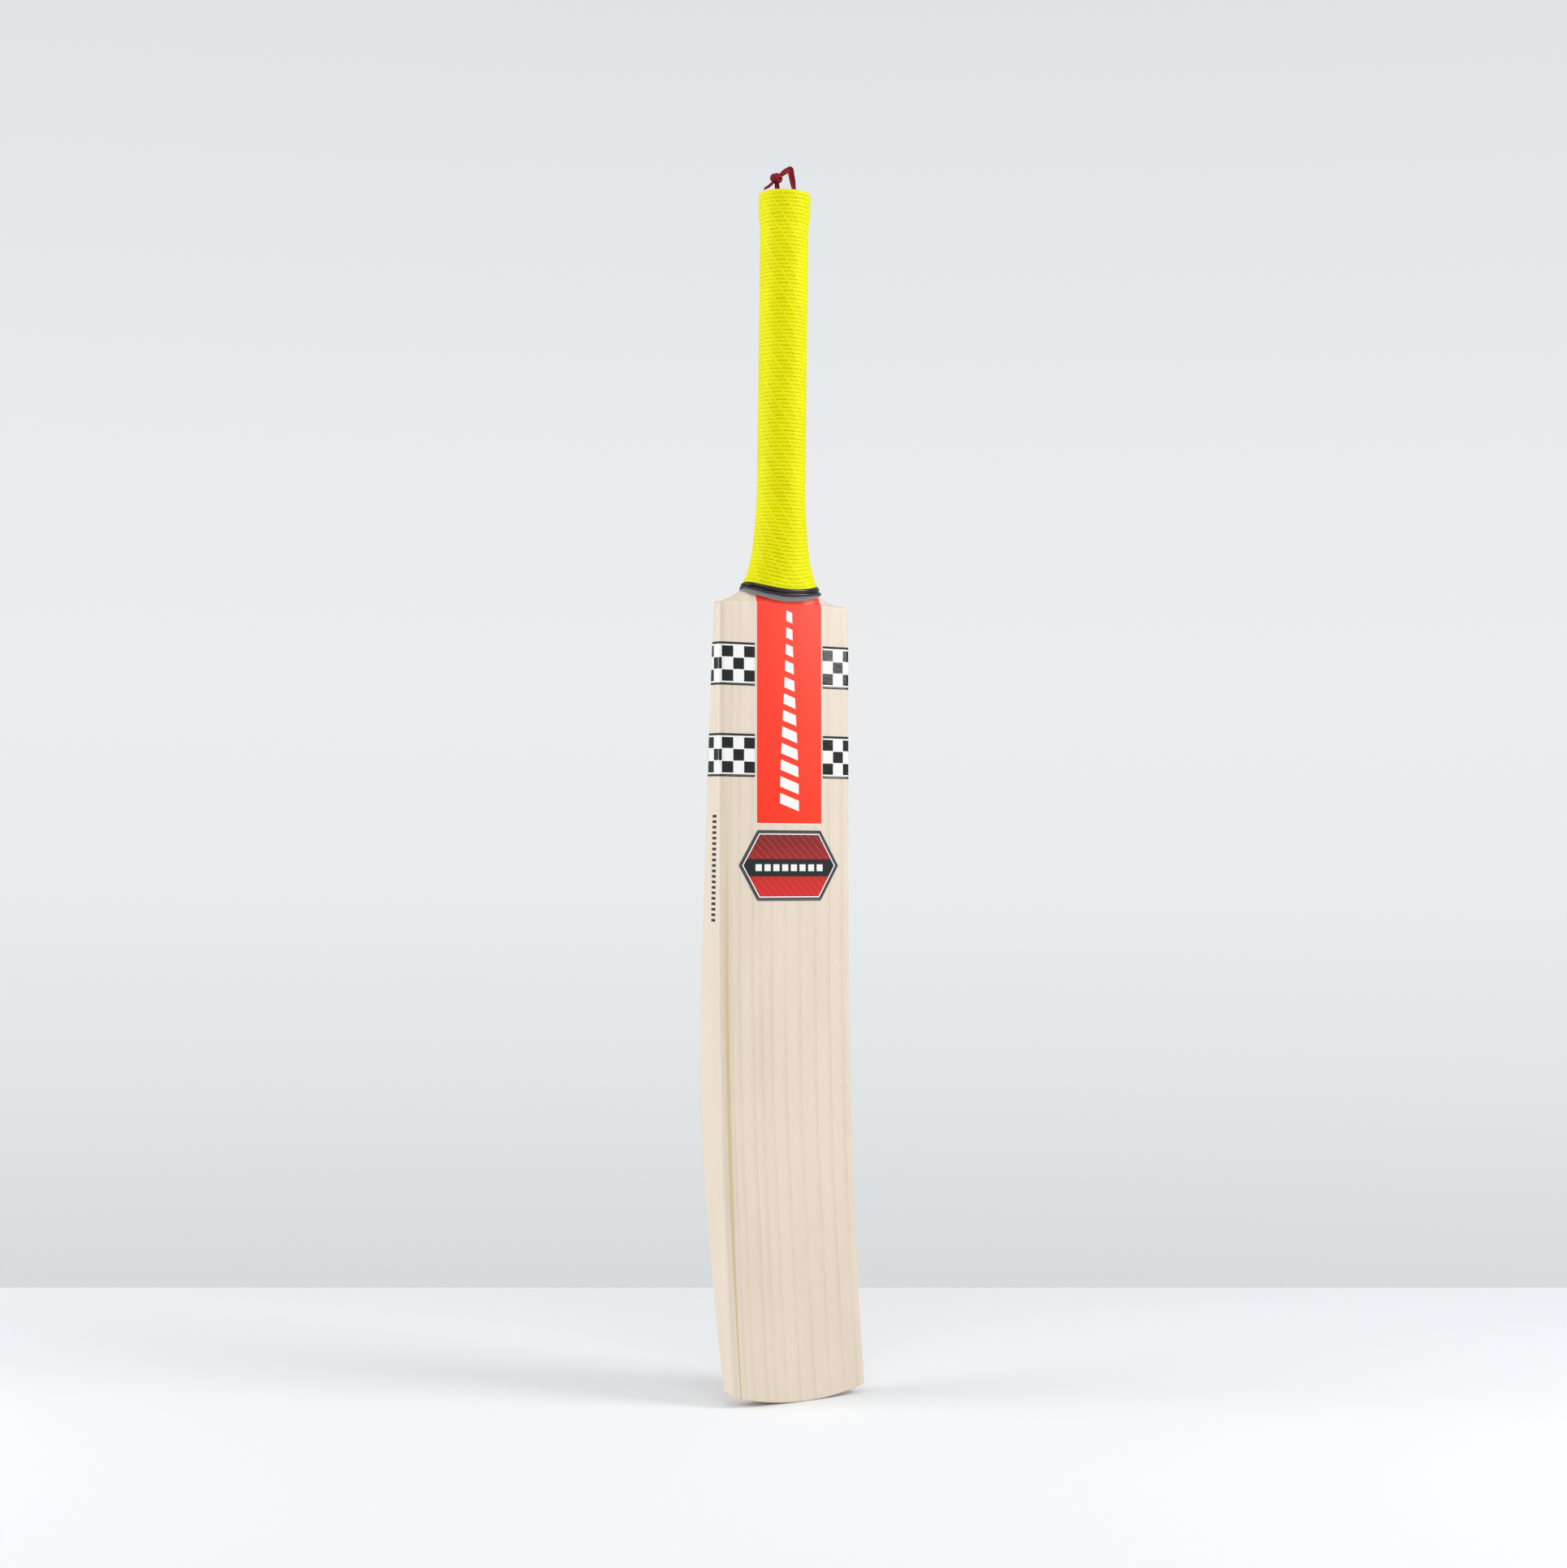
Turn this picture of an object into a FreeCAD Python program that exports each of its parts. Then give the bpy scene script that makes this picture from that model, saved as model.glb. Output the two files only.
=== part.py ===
import FreeCAD, Part
import math
import os

import Sketcher

# A cricket bat, standing on its toe. The face looks along -Y, the handle rises along +Z, and X runs from
# edge to edge. All sizes are in millimetres.

DIMENSIONS = {
    # blade, seen from the front
    "blade_width": 107.5,
    "shoulder_height": 560.5,
    "toe_radius": 200.0,
    "toe_corner_radius": 5.0,
    "toe_corner_rise": 5.75,
    "shoulder_corner_radius": 3.5,
    # blade, seen from the side
    "handle_axis": 2.22,
    "face_offset": 10.3,
    "blade_lean": 0.0259,
    "toe_bow": 21.2,
    "bow_start": 329.0,
    # blade cross-section
    "face_crown": 1.2,
    "face_corner_radius": 4.2,
    "back_corner_radius": 8.0,
    "back_corner_turn": 60.0,
    "flank_radius": 150.0,
    "spine_radius": 15.0,
    "spine_half_turn": 35.0,
    "edge_peak": 30.5,
    "edge_peak_height": 212.0,
    "edge_at_toe": 12.5,
    "edge_at_shoulder": 8.2,
    "spine_peak": 62.0,
    "spine_peak_height": 235.0,
    "spine_at_toe": 27.0,
    "spine_at_shoulder": 27.0,
    "toe_power": 1.6,
    "edge_shoulder_power": 1.2,
    "spine_shoulder_power": 1.3,
    # splice
    "splice_tip_height": 431.0,
    "splice_tip_width": 3.0,
    "splice_wide_height": 600.0,
    "splice_wide_width": 48.6,
    # handle
    "cane_radius": 14.0,
    "cane_end_height": 851.0,
    "flare_root": 550.0,
    "flare_end": 640.0,
    "flare_area": 400.0,
    "flare_front_share": 0.06,
    "flare_back_share": 0.05,
    "front_dip": 5.4,
    "dip_fade": 5.0,
    "slip_width": 7.0,
    "layer_half_depth": 3.7,
    "spring_depth": 1.2,
    "twine_depth": 1.0,
    # grip and the ring at its foot
    "grip_depth": 2.4,
    "grip_end_height": 855.0,
    "collar_height": 841.0,
    "collar_radius": 18.6,
    "collar_slope": 12.0,
    "rim_radius": 1.6,
    "ring_depth": 2.2,
    "binding_foot": 561.6,
    "ring_foot": 565.0,
    "grip_foot": 569.8,
    "foot_arch_radius": 82.0,
    # films
    "film_depth": 0.25,
    "label_width": 54.4,
    "label_shift": 1.8,
    "label_foot": 403.1,
    "band_gap": 1.0,
    "band_width": 30.4,
    "upper_band_foot": 500.7,
    "lower_band_foot": 436.2,
    "back_label_width": 50.0,
    "badge_width": 82.0,
    "badge_tall": 50.0,
    "badge_height": 373.7,
    "badge_point": 15.0,
    "decal_width": 10.0,
    "decal_offset": 5.4,
    "decal_foot": 334.0,
    "decal_tall": 77.0,
    # ribbon
    "ribbon_width": 4.0,
}

# Heights at which the blade and the neck have a cross-section of their own.
BLADE_STATIONS = (-8, 40, 90, 150, 212, 280, 360, 450, 530, 588)
NECK_STATIONS = (560.5, 562.5, 566, 572, 580, 590, 604, 620, 640)
SLIPS_PER_LAYER = 4

# Tool bodies reach well past the bat: to each side of its middle plane, and over its top.
CLEAR = 80
OVER_TOP = 1000
ARCH_REACH = 60

# A blank with no skin on it.
BARE = "0"

# A bend in the ribbon takes this share of the shorter run beside it.
BEND_SHARE = 0.45

# A sketch's origin, the ends of its lines and arcs, and the two ways that an arc can bend.
ROOT = (-1, 1)
START, END = 1, 2
OUTWARD, INWARD = "outward", "inward"

# The routes of the ribbon over the end of the handle, and of its loose end past the knot, as (x, y, z).
LOOP_ROUTE = (
    (11.6, 6.8, 851.0),
    (11.4, 6.6, 857.0),
    (8.8, 5.2, 863.2),
    (7.4, 4.8, 869.0),
    (5.2, 4.2, 873.6),
    (0.4, 3.6, 874.2),
    (-2.8, 3.4, 870.2),
    (-6.2, 3.8, 865.4),
    (-4.8, 4.2, 858.0),
    (-4.6, 4.4, 851.0),
)
TAIL_ROUTE = (
    (-7.4, 4.0, 864.8),
    (-10.6, 3.8, 860.0),
    (-16.4, 3.4, 857.3),
)
KNOT_PLACE = (-6.2, 3.8, 866.0)
KNOT_HALF_SIZES = (5.0, 3.6, 3.8)

doc = FreeCAD.newDocument("cricket_bat")
sheet = doc.addObject("Spreadsheet::Sheet", "Dims")
for row, (alias, number) in enumerate(DIMENSIONS.items(), start=1):
    sheet.set(f"A{row}", alias)
    sheet.set(f"B{row}", str(number))
    sheet.setAlias(f"B{row}", alias)
doc.recompute()

sub_parts = []


def value(expression):
    """The number that an expression over the sheet's cells gives."""
    return float(sheet.evalExpression(expression))


def vector(x, y, z=0):
    return FreeCAD.Vector(x, y, z)


# ---------------------------------------------------------------- profiles along the blade, as expressions


def face_line(z):
    """Y of the middle of the face at height z: leaning, and bowed forward towards the toe."""
    lean = f"Dims.blade_lean * (Dims.shoulder_height - ({z}))"
    bow = f"Dims.toe_bow * max(0; 1 - ({z}) / Dims.bow_start) ^ 2"
    return f"(Dims.handle_axis - Dims.face_offset - {lean} - {bow})"


def swell(z, name):
    """A depth that rises from the toe to its peak and falls again to the shoulder."""
    peak = f"Dims.{name}_peak_height"
    if z < value(peak):
        end = f"Dims.{name}_at_toe"
        power = "Dims.toe_power"
        span = peak
    else:
        end = f"Dims.{name}_at_shoulder"
        power = f"Dims.{name}_shoulder_power"
        span = f"(Dims.shoulder_height - {peak})"
    return f"(Dims.{name}_peak - (Dims.{name}_peak - {end}) * (abs(({z}) - {peak}) / {span}) ^ {power})"


def neck_half_width(z):
    """Half the width of the handle's flared neck at height z."""
    here = f"1 / ({z} - Dims.flare_root)"
    end = "1 / (Dims.flare_end - Dims.flare_root)"
    return f"(Dims.cane_radius + Dims.flare_area * ({here} - {end}))"


def neck_front(z):
    """How far the neck stands forward of the handle's axis: it dips to the face at the shoulder."""
    swelling = f"Dims.flare_front_share * ({neck_half_width(z)} - Dims.cane_radius)"
    dip = f"Dims.front_dip * exp((Dims.shoulder_height - {z}) / Dims.dip_fade)"
    return f"(Dims.cane_radius + {swelling} - {dip})"


def neck_back(z):
    """How far the neck stands back from the handle's axis."""
    return f"(Dims.cane_radius + Dims.flare_back_share * ({neck_half_width(z)} - Dims.cane_radius))"


# ---------------------------------------------------------------- sketch and body helpers


def new_body(name):
    return doc.addObject("PartDesign::Body", name)


def new_sketch(body, name, role, lift=None):
    """A sketch on one of the body's own origin planes, lifted along the plane's normal."""
    plane = next(feature for feature in body.Origin.OriginFeatures if feature.Role == role)
    sketch = body.newObject("Sketcher::SketchObject", name)
    sketch.AttachmentSupport = (plane, [""])
    sketch.MapMode = "FlatFace"
    if lift is not None:
        sketch.AttachmentOffset = FreeCAD.Placement(vector(0, 0, lift), FreeCAD.Rotation())
    return sketch


def bind(sketch, kind, places, expression):
    """Add a dimension whose value is an expression over the sheet."""
    index = sketch.addConstraint(Sketcher.Constraint(kind, *places, value(expression)))
    sketch.setExpression(f"Constraints[{index}]", expression)


def short_arc(start, end, radius):
    """The short arc that runs anticlockwise from start to end."""
    chord = end - start
    sagitta = radius - math.sqrt(radius**2 - (chord.Length / 2) ** 2)
    outward = vector(chord.y, -chord.x).normalize()
    return Part.Arc(start, (start + end) * 0.5 + outward * sagitta, end)


def outline(sketch, corners, bends):
    """Close a chain of lines and arcs through the corners.

    corners holds pairs of expressions, anticlockwise. bends holds, for the edge that leaves each corner,
    None for a line, or a pair: the radius expression, and OUTWARD or INWARD.
    """
    points = [vector(value(x), value(y)) for x, y in corners]
    ends = []
    for index, start in enumerate(points):
        end = points[(index + 1) % len(points)]
        bend = bends[index]
        if bend is None:
            edge = Part.LineSegment(start, end)
        elif bend[1] == OUTWARD:
            edge = short_arc(start, end, value(bend[0]))
        else:
            edge = short_arc(end, start, value(bend[0]))
        number = sketch.addGeometry(edge)
        inward = bend is not None and bend[1] == INWARD
        ends.append((number, END, START) if inward else (number, START, END))
    for index, (number, first, _) in enumerate(ends):
        before, _, last = ends[index - 1]
        sketch.addConstraint(Sketcher.Constraint("Coincident", before, last, number, first))
        x, y = corners[index]
        bind(sketch, "DistanceX", (*ROOT, number, first), x)
        bind(sketch, "DistanceY", (*ROOT, number, first), y)
        if bends[index] is not None:
            bind(sketch, "Radius", (number,), bends[index][0])


def pad_outline(name, corners, bends):
    """A body padded from an outline in the XZ plane, through the whole bat from front to back."""
    body = new_body(name)
    sketch = new_sketch(body, f"{name}_sketch", "XZ_Plane")
    outline(sketch, corners, bends)
    pad = body.newObject("PartDesign::Pad", f"{name}_pad")
    pad.Profile = sketch
    pad.Midplane = True
    pad.Length = 2 * CLEAR
    return body


def boolean(kind, name, base, *tools):
    """A Part boolean of document objects: Cut, MultiFuse or MultiCommon."""
    result = doc.addObject(f"Part::{kind}", name)
    if kind == "Cut":
        result.Base, result.Tool = base, tools[0]
    else:
        result.Shapes = [base, *tools]
    return result


def cut_all(name, base, *tools):
    for count, tool in enumerate(tools, start=1):
        base = boolean("Cut", name if count == len(tools) else f"{name}_cut_{count}", base, tool)
    return base


def block(name, low, high):
    """A box between two corners, each given as three expressions."""
    box = doc.addObject("Part::Box", name)
    for side, axis, least, most in zip(("Length", "Width", "Height"), "xyz", low, high):
        box.setExpression(side, f"({most}) - ({least})")
        box.setExpression(f"Placement.Base.{axis}", least)
    return box


def rod(name, radius, foot, top):
    """A cylinder on the handle's axis."""
    cylinder = doc.addObject("Part::Cylinder", name)
    cylinder.setExpression("Radius", radius)
    cylinder.setExpression("Height", f"({top}) - ({foot})")
    cylinder.setExpression("Placement.Base.y", "Dims.handle_axis")
    cylinder.setExpression("Placement.Base.z", foot)
    return cylinder


def sub_part(name, thing):
    thing.Label = name
    sub_parts.append(thing)
    return thing


# ---------------------------------------------------------------- blanks that several sub-parts are cut from


def blade_section(body, name, z, grow):
    """The blade's cross-section at height z: crowned face, rounded corners, edges, hollow flanks, spine."""
    face = f"({face_line(z)} - {grow})"
    edge = f"({face_line(z)} + {swell(z, 'edge')})"
    spine = f"({face_line(z)} + {swell(z, 'spine')} + {grow})"
    half = f"(Dims.blade_width / 2 + {grow})"
    corner = f"(Dims.face_corner_radius + {grow})"
    back = f"(Dims.back_corner_radius + {grow})"
    top = "(Dims.spine_radius * sin(Dims.spine_half_turn))"
    drop = "(Dims.spine_radius * (1 - cos(Dims.spine_half_turn)))"
    inset = f"{back} * (1 - cos(Dims.back_corner_turn))"
    rise = f"{back} * sin(Dims.back_corner_turn)"
    right = [
        (f"{half} - {corner}", f"{face} + Dims.face_crown"),
        (half, f"{face} + Dims.face_crown + {corner}"),
        (half, edge),
        (f"{half} - {inset}", f"{edge} + {rise}"),
        (top, f"{spine} - {drop}"),
    ]
    left = [(f"-({x})", y) for x, y in reversed(right)]
    crown = f"((({half} - {corner}) ^ 2 + Dims.face_crown ^ 2) / (2 * Dims.face_crown))"
    flank = ("Dims.flank_radius", INWARD)
    bends = [(corner, OUTWARD), None, (back, OUTWARD), flank, ("Dims.spine_radius", OUTWARD)]
    bends += [flank, (back, OUTWARD), None, (corner, OUTWARD), (crown, OUTWARD)]
    sketch = new_sketch(body, name, "XY_Plane", lift=z)
    outline(sketch, right + left, bends)
    return sketch


def blade_blank(name, grow):
    """The blade's long body, before its toe, shoulders and splice are cut."""
    body = new_body(name)
    sections = [blade_section(body, f"{name}_{z}".replace("-", "low_"), z, grow) for z in BLADE_STATIONS]
    loft = body.newObject("PartDesign::AdditiveLoft", f"{name}_loft")
    loft.Profile = sections[0]
    loft.Sections = sections[1:]
    return body


def neck_blank(name, grow):
    """The handle from the shoulder up to where it is round, with a skin of grow on it."""
    sections = []
    for z in NECK_STATIONS:
        oval = doc.addObject("Part::Ellipse", f"{name}_{round(z)}")
        oval.setExpression("MajorRadius", f"{neck_half_width(z)} + {grow}")
        oval.setExpression("MinorRadius", f"({neck_front(z)} + {neck_back(z)}) / 2 + {grow}")
        oval.setExpression("Placement.Base.y", f"Dims.handle_axis + ({neck_back(z)} - {neck_front(z)}) / 2")
        oval.Placement.Base.z = z
        sections.append(oval)
    loft = doc.addObject("Part::Loft", name)
    loft.Sections = sections
    loft.Solid = True
    return loft


def handle_blank(name, grow):
    """The neck and the round handle above it."""
    neck = neck_blank(f"{name}_neck", grow)
    shaft = rod(f"{name}_shaft", f"Dims.cane_radius + {grow}", "Dims.flare_end", "Dims.cane_end_height")
    return boolean("MultiFuse", name, neck, shaft)


def front_outline():
    """The blade's outline from the front: rounded toe, straight sides, square shoulders."""
    half = "(Dims.blade_width / 2)"
    corner = "Dims.toe_corner_radius"
    toe_x = f"({half} - {corner})"
    toe_z = f"(Dims.toe_radius - sqrt(Dims.toe_radius ^ 2 - {toe_x} ^ 2))"
    shoulder = "Dims.shoulder_corner_radius"
    right = [
        (toe_x, toe_z),
        (half, f"{toe_z} + Dims.toe_corner_rise"),
        (half, f"Dims.shoulder_height - {shoulder}"),
        (f"{half} - {shoulder}", "Dims.shoulder_height"),
    ]
    left = [(f"-({x})", z) for x, z in reversed(right)]
    at_toe, at_shoulder = (corner, OUTWARD), (shoulder, OUTWARD)
    bends = [at_toe, None, at_shoulder, None, at_shoulder, None, at_toe, ("Dims.toe_radius", OUTWARD)]
    return pad_outline("front_outline", right + left, bends)


def splice_prism():
    """The V of the splice: its sides run on upwards until they leave the neck."""
    tip = "Dims.splice_tip_width / 2"
    wide = "Dims.splice_wide_width / 2"
    top = f"{OVER_TOP}"
    corners = [
        (f"-({tip})", "Dims.splice_tip_height"),
        (tip, "Dims.splice_tip_height"),
        (wide, "Dims.splice_wide_height"),
        (wide, top),
        (f"-({wide})", top),
        (f"-({wide})", "Dims.splice_wide_height"),
    ]
    return pad_outline("splice_prism", corners, [None] * 6)


def above_arch(name, foot):
    """All that lies above an arch: lowest at the middle of the front and back, higher at the sides."""
    rise = f"(Dims.foot_arch_radius - sqrt(Dims.foot_arch_radius ^ 2 - {ARCH_REACH} ^ 2))"
    top = f"{OVER_TOP}"
    corners = [
        (f"-{ARCH_REACH}", f"{foot} + {rise}"),
        (f"{ARCH_REACH}", f"{foot} + {rise}"),
        (f"{ARCH_REACH}", top),
        (f"-{ARCH_REACH}", top),
    ]
    return pad_outline(name, corners, [("Dims.foot_arch_radius", OUTWARD), None, None, None])


# ---------------------------------------------------------------- wood, cane and binding


def make_blade(blank, wood, neck, splice):
    """The willow: the blade below the shoulder, and the two ears that run up beside the splice."""
    below = boolean("Cut", "willow_below", wood, splice)
    fore = block("fore", (f"-{CLEAR}", f"-{CLEAR}", "0"), (f"{CLEAR}", "Dims.handle_axis", f"{OVER_TOP}"))
    beside = boolean("MultiFuse", "blank_and_fore", blank, fore)
    ears = boolean("MultiCommon", "ears", boolean("Cut", "ears_raw", neck, splice), beside)
    return sub_part("blade", boolean("MultiFuse", "blade_joined", below, ears))


def make_handle_layers(in_blade, above_blade):
    """Three layers of four cane slips each, with a rubber spring between the layers."""

    def layer_piece(name, low, high):
        slab = block(f"{name}_slab", low, high)
        below = boolean("MultiCommon", f"{name}_below", in_blade, slab)
        above = boolean("MultiCommon", f"{name}_above", above_blade, slab)
        sub_part(name, boolean("MultiFuse", f"{name}_joined", below, above))

    near = "Dims.layer_half_depth"
    far = "(Dims.layer_half_depth + Dims.spring_depth)"
    axis = "Dims.handle_axis"
    layers = {
        "front": (f"-{CLEAR}", f"{axis} - {far}"),
        "middle": (f"{axis} - {near}", f"{axis} + {near}"),
        "back": (f"{axis} + {far}", f"{CLEAR}"),
    }
    springs = {
        "front": (f"{axis} - {far}", f"{axis} - {near}"),
        "back": (f"{axis} + {near}", f"{axis} + {far}"),
    }
    limits = [f"-{CLEAR}", "-Dims.slip_width", "0", "Dims.slip_width", f"{CLEAR}"]
    for layer, (low, high) in layers.items():
        for slip in range(SLIPS_PER_LAYER):
            name = f"cane_slip_{layer}_{slip + 1}"
            layer_piece(name, (limits[slip], low, "0"), (limits[slip + 1], high, f"{OVER_TOP}"))
    for layer, (low, high) in springs.items():
        layer_piece(f"rubber_spring_{layer}", (limits[0], low, "0"), (limits[-1], high, f"{OVER_TOP}"))


def make_twine(wrapped, wood, handle):
    """The thread round the handle, down to its arched foot on the shoulder."""
    above = boolean("MultiCommon", "twine_above", wrapped, above_arch("binding_arch", "Dims.binding_foot"))
    return sub_part("twine_binding", cut_all("twine_cut", above, wood, handle))


# ---------------------------------------------------------------- grip


def make_grip_ring(wrapped, wood, grip_arch):
    outer = neck_blank("ring_outer", "Dims.twine_depth + Dims.ring_depth")
    above = boolean("MultiCommon", "ring_above", outer, above_arch("ring_arch", "Dims.ring_foot"))
    return sub_part("grip_ring", cut_all("ring_cut", above, grip_arch, wrapped, wood))


def grip_tube():
    """The round part of the grip, turned about the handle's axis, with its collar and rolled rim."""
    body = new_body("grip_tube")
    sketch = new_sketch(body, "grip_profile", "YZ_Plane")
    inner = "(Dims.handle_axis + Dims.cane_radius + Dims.twine_depth)"
    outer = f"({inner} + Dims.grip_depth)"
    collar = "(Dims.handle_axis + Dims.collar_radius)"
    corners = [
        (inner, "Dims.flare_end"),
        (outer, "Dims.flare_end"),
        (outer, "Dims.collar_height - Dims.collar_slope"),
        (collar, "Dims.collar_height"),
        (collar, "Dims.grip_end_height - Dims.rim_radius"),
        (f"{collar} - Dims.rim_radius", "Dims.grip_end_height"),
        (inner, "Dims.grip_end_height"),
    ]
    outline(sketch, corners, [None, None, None, None, ("Dims.rim_radius", OUTWARD), None, None])
    axis_y = value("Dims.handle_axis")
    low = vector(axis_y, value("Dims.flare_end"))
    high = vector(axis_y, value("Dims.grip_end_height"))
    line = sketch.addGeometry(Part.LineSegment(low, high), True)
    sketch.addConstraint(Sketcher.Constraint("Vertical", line))
    bind(sketch, "DistanceX", (*ROOT, line, START), "Dims.handle_axis")
    turned = body.newObject("PartDesign::Revolution", "grip_turned")
    turned.Profile = sketch
    turned.ReferenceAxis = (sketch, ["Axis0"])
    turned.Angle = 360
    return body


def make_grip(wrapped, wood, grip_arch):
    skirt = neck_blank("grip_outer", "Dims.twine_depth + Dims.grip_depth")
    above = boolean("MultiCommon", "skirt_above", skirt, grip_arch)
    hollow = cut_all("skirt_hollow", above, wrapped, wood)
    return sub_part("grip", boolean("MultiFuse", "grip_joined", hollow, grip_tube()))


# ---------------------------------------------------------------- films on the wood


def film(name, skin, low, high):
    """The part of the thin skin on the wood that lies between two corners."""
    patch = block(f"{name}_patch", low, high)
    return sub_part(name, boolean("MultiCommon", f"{name}_cut", skin, patch))


def make_films(skin):
    left = "(Dims.label_shift - Dims.label_width / 2)"
    right = "(Dims.label_shift + Dims.label_width / 2)"
    front, middle, back = f"-{CLEAR}", "Dims.handle_axis", f"{CLEAR}"
    film("face_label", skin, (left, front, "Dims.label_foot"), (right, middle, "Dims.shoulder_height"))
    spine = "(Dims.back_label_width / 2)"
    film("back_label", skin, (f"-{spine}", middle, "Dims.label_foot"), (spine, back, "Dims.shoulder_height"))
    spans = {
        "left": (f"-{CLEAR}", f"{left} - Dims.band_gap"),
        "right": (f"{right} + Dims.band_gap", f"{CLEAR}"),
    }
    for level in ("upper", "lower"):
        foot = f"Dims.{level}_band_foot"
        for side, (low, high) in spans.items():
            film(f"{level}_band_{side}", skin, (low, front, foot), (high, back, f"{foot} + Dims.band_width"))
    edge = face_line(value("Dims.decal_foot + Dims.decal_tall / 2"))
    near = f"{edge} + Dims.decal_offset"
    low = (f"-{CLEAR}", near, "Dims.decal_foot")
    high = ("-Dims.blade_width / 3", f"{near} + Dims.decal_width", "Dims.decal_foot + Dims.decal_tall")
    film("edge_decal", skin, low, high)


def make_badge(skin):
    """A wide six-sided badge."""
    half = "(Dims.badge_width / 2)"
    inner = f"({half} - Dims.badge_point)"
    low = "(Dims.badge_height - Dims.badge_tall / 2)"
    high = "(Dims.badge_height + Dims.badge_tall / 2)"
    shift = "Dims.label_shift"
    corners = [
        (f"{shift} - {inner}", low),
        (f"{shift} + {inner}", low),
        (f"{shift} + {half}", "Dims.badge_height"),
        (f"{shift} + {inner}", high),
        (f"{shift} - {inner}", high),
        (f"{shift} - {half}", "Dims.badge_height"),
    ]
    prism = pad_outline("badge_prism", corners, [None] * 6)
    reach = (f"{CLEAR}", "Dims.handle_axis", f"{OVER_TOP}")
    front = block("badge_front", (f"-{CLEAR}", f"-{CLEAR}", "0"), reach)
    return sub_part("badge_label", boolean("MultiCommon", "badge_cut", skin, prism, front))


# ---------------------------------------------------------------- ribbon


def route_path(route):
    """Straight runs joined by tangent arcs, each as large as its two runs allow."""
    points = [FreeCAD.Vector(*point) for point in route]
    edges = []
    radii = []
    start = points[0]
    for before, corner, after in zip(points, points[1:], points[2:]):
        arriving = (corner - before).normalize()
        leaving = (after - corner).normalize()
        turn = arriving.getAngle(leaving)
        reach = BEND_SHARE * min((corner - before).Length, (after - corner).Length)
        radii.append(reach / math.tan(turn / 2))
        enter = corner - arriving * reach
        leave = corner + leaving * reach
        inward = (leaving - arriving).normalize()
        middle = corner + inward * radii[-1] * (1 / math.cos(turn / 2) - 1)
        edges.append(Part.LineSegment(start, enter).toShape())
        edges.append(Part.Arc(enter, middle, leave).toShape())
        start = leave
    edges.append(Part.LineSegment(start, points[-1]).toShape())
    return Part.Wire(edges), radii


def ribbon_tube(name, route):
    """A plain tube as wide as the flat ribbon, along its route."""
    path, radii = route_path(route)
    radius = value("Dims.ribbon_width / 2")
    start = FreeCAD.Vector(*route[0])
    direction = FreeCAD.Vector(*route[1]) - start
    ring = Part.Wire(Part.makeCircle(radius, start, direction))
    tube = path.makePipeShell([ring], True, True)
    expected = math.pi * radius**2 * path.Length
    print(name, "length", round(path.Length, 1), "radii", [round(bend, 1) for bend in radii])
    print(name, "volume", round(tube.Volume, 1), "of", round(expected, 1))
    return tube


def make_ribbon():
    """The ribbon's loop, its knot as a rounded lump, and its loose end, which lies over the rim."""
    loop = ribbon_tube("hang_ribbon", LOOP_ROUTE)
    tail = ribbon_tube("ribbon_tail", TAIL_ROUTE)
    stretch = FreeCAD.Matrix()
    stretch.scale(*KNOT_HALF_SIZES)
    stretch.move(FreeCAD.Vector(*KNOT_PLACE))
    knot = Part.makeSphere(1).transformGeometry(stretch)
    pieces = {
        "hang_ribbon": loop.cut(knot),
        "ribbon_tail": tail.cut(knot).cut(loop),
        "ribbon_knot": knot,
    }
    for name, shape in pieces.items():
        feature = doc.addObject("Part::Feature", f"{name}_solid")
        feature.Shape = shape
        feature.Placement = FreeCAD.Placement()
        sub_part(name, feature)


# ---------------------------------------------------------------- assembly


def build():
    bare = handle_blank("handle_bare", BARE)
    wrapped = handle_blank("handle_wrapped", "Dims.twine_depth")
    blank = blade_blank("blade_blank", BARE)
    wood = boolean("MultiCommon", "wood", blank, front_outline())
    splice = splice_prism()
    in_blade = boolean("MultiCommon", "cane_in_blade", wood, splice)
    above_blade = boolean("MultiCommon", "cane_above_blade", bare, splice)

    blade = make_blade(blank, wood, neck_blank("neck_of_wood", BARE), splice)
    make_handle_layers(in_blade, above_blade)
    make_twine(wrapped, blade, bare)
    grip_arch = above_arch("grip_arch", "Dims.grip_foot")
    make_grip_ring(wrapped, blade, grip_arch)
    make_grip(wrapped, blade, grip_arch)
    skin = boolean("Cut", "film_skin", blade_blank("blade_grown", "Dims.film_depth"), blank)
    make_films(skin)
    make_badge(skin)
    make_ribbon()
    doc.recompute()


def check():
    """Stop before anything is written if an object failed or a sub-part is not a sound solid."""
    for thing in doc.Objects:
        if "Invalid" in thing.State or "Error" in thing.State:
            raise RuntimeError(f"{thing.Name} failed: {thing.State}")
    for thing in sub_parts:
        shape = thing.Shape
        if shape.isNull() or not shape.isValid() or not shape.Solids:
            raise RuntimeError(f"{thing.Label} has no valid solid")


def write():
    os.makedirs("parts", exist_ok=True)
    box = FreeCAD.BoundBox()
    for thing in sub_parts:
        thing.Shape.exportStep(f"parts/{thing.Label}.step")
        if "ribbon" not in thing.Label:
            box.add(thing.Shape.optimalBoundingBox())
        print(thing.Label, len(thing.Shape.Solids), "solid", round(thing.Shape.Volume), "mm3")
    print("box without the ribbon", box)


build()
check()
write()
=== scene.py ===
import math

import bpy
import numpy as np
from mathutils import Matrix, Vector


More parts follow.
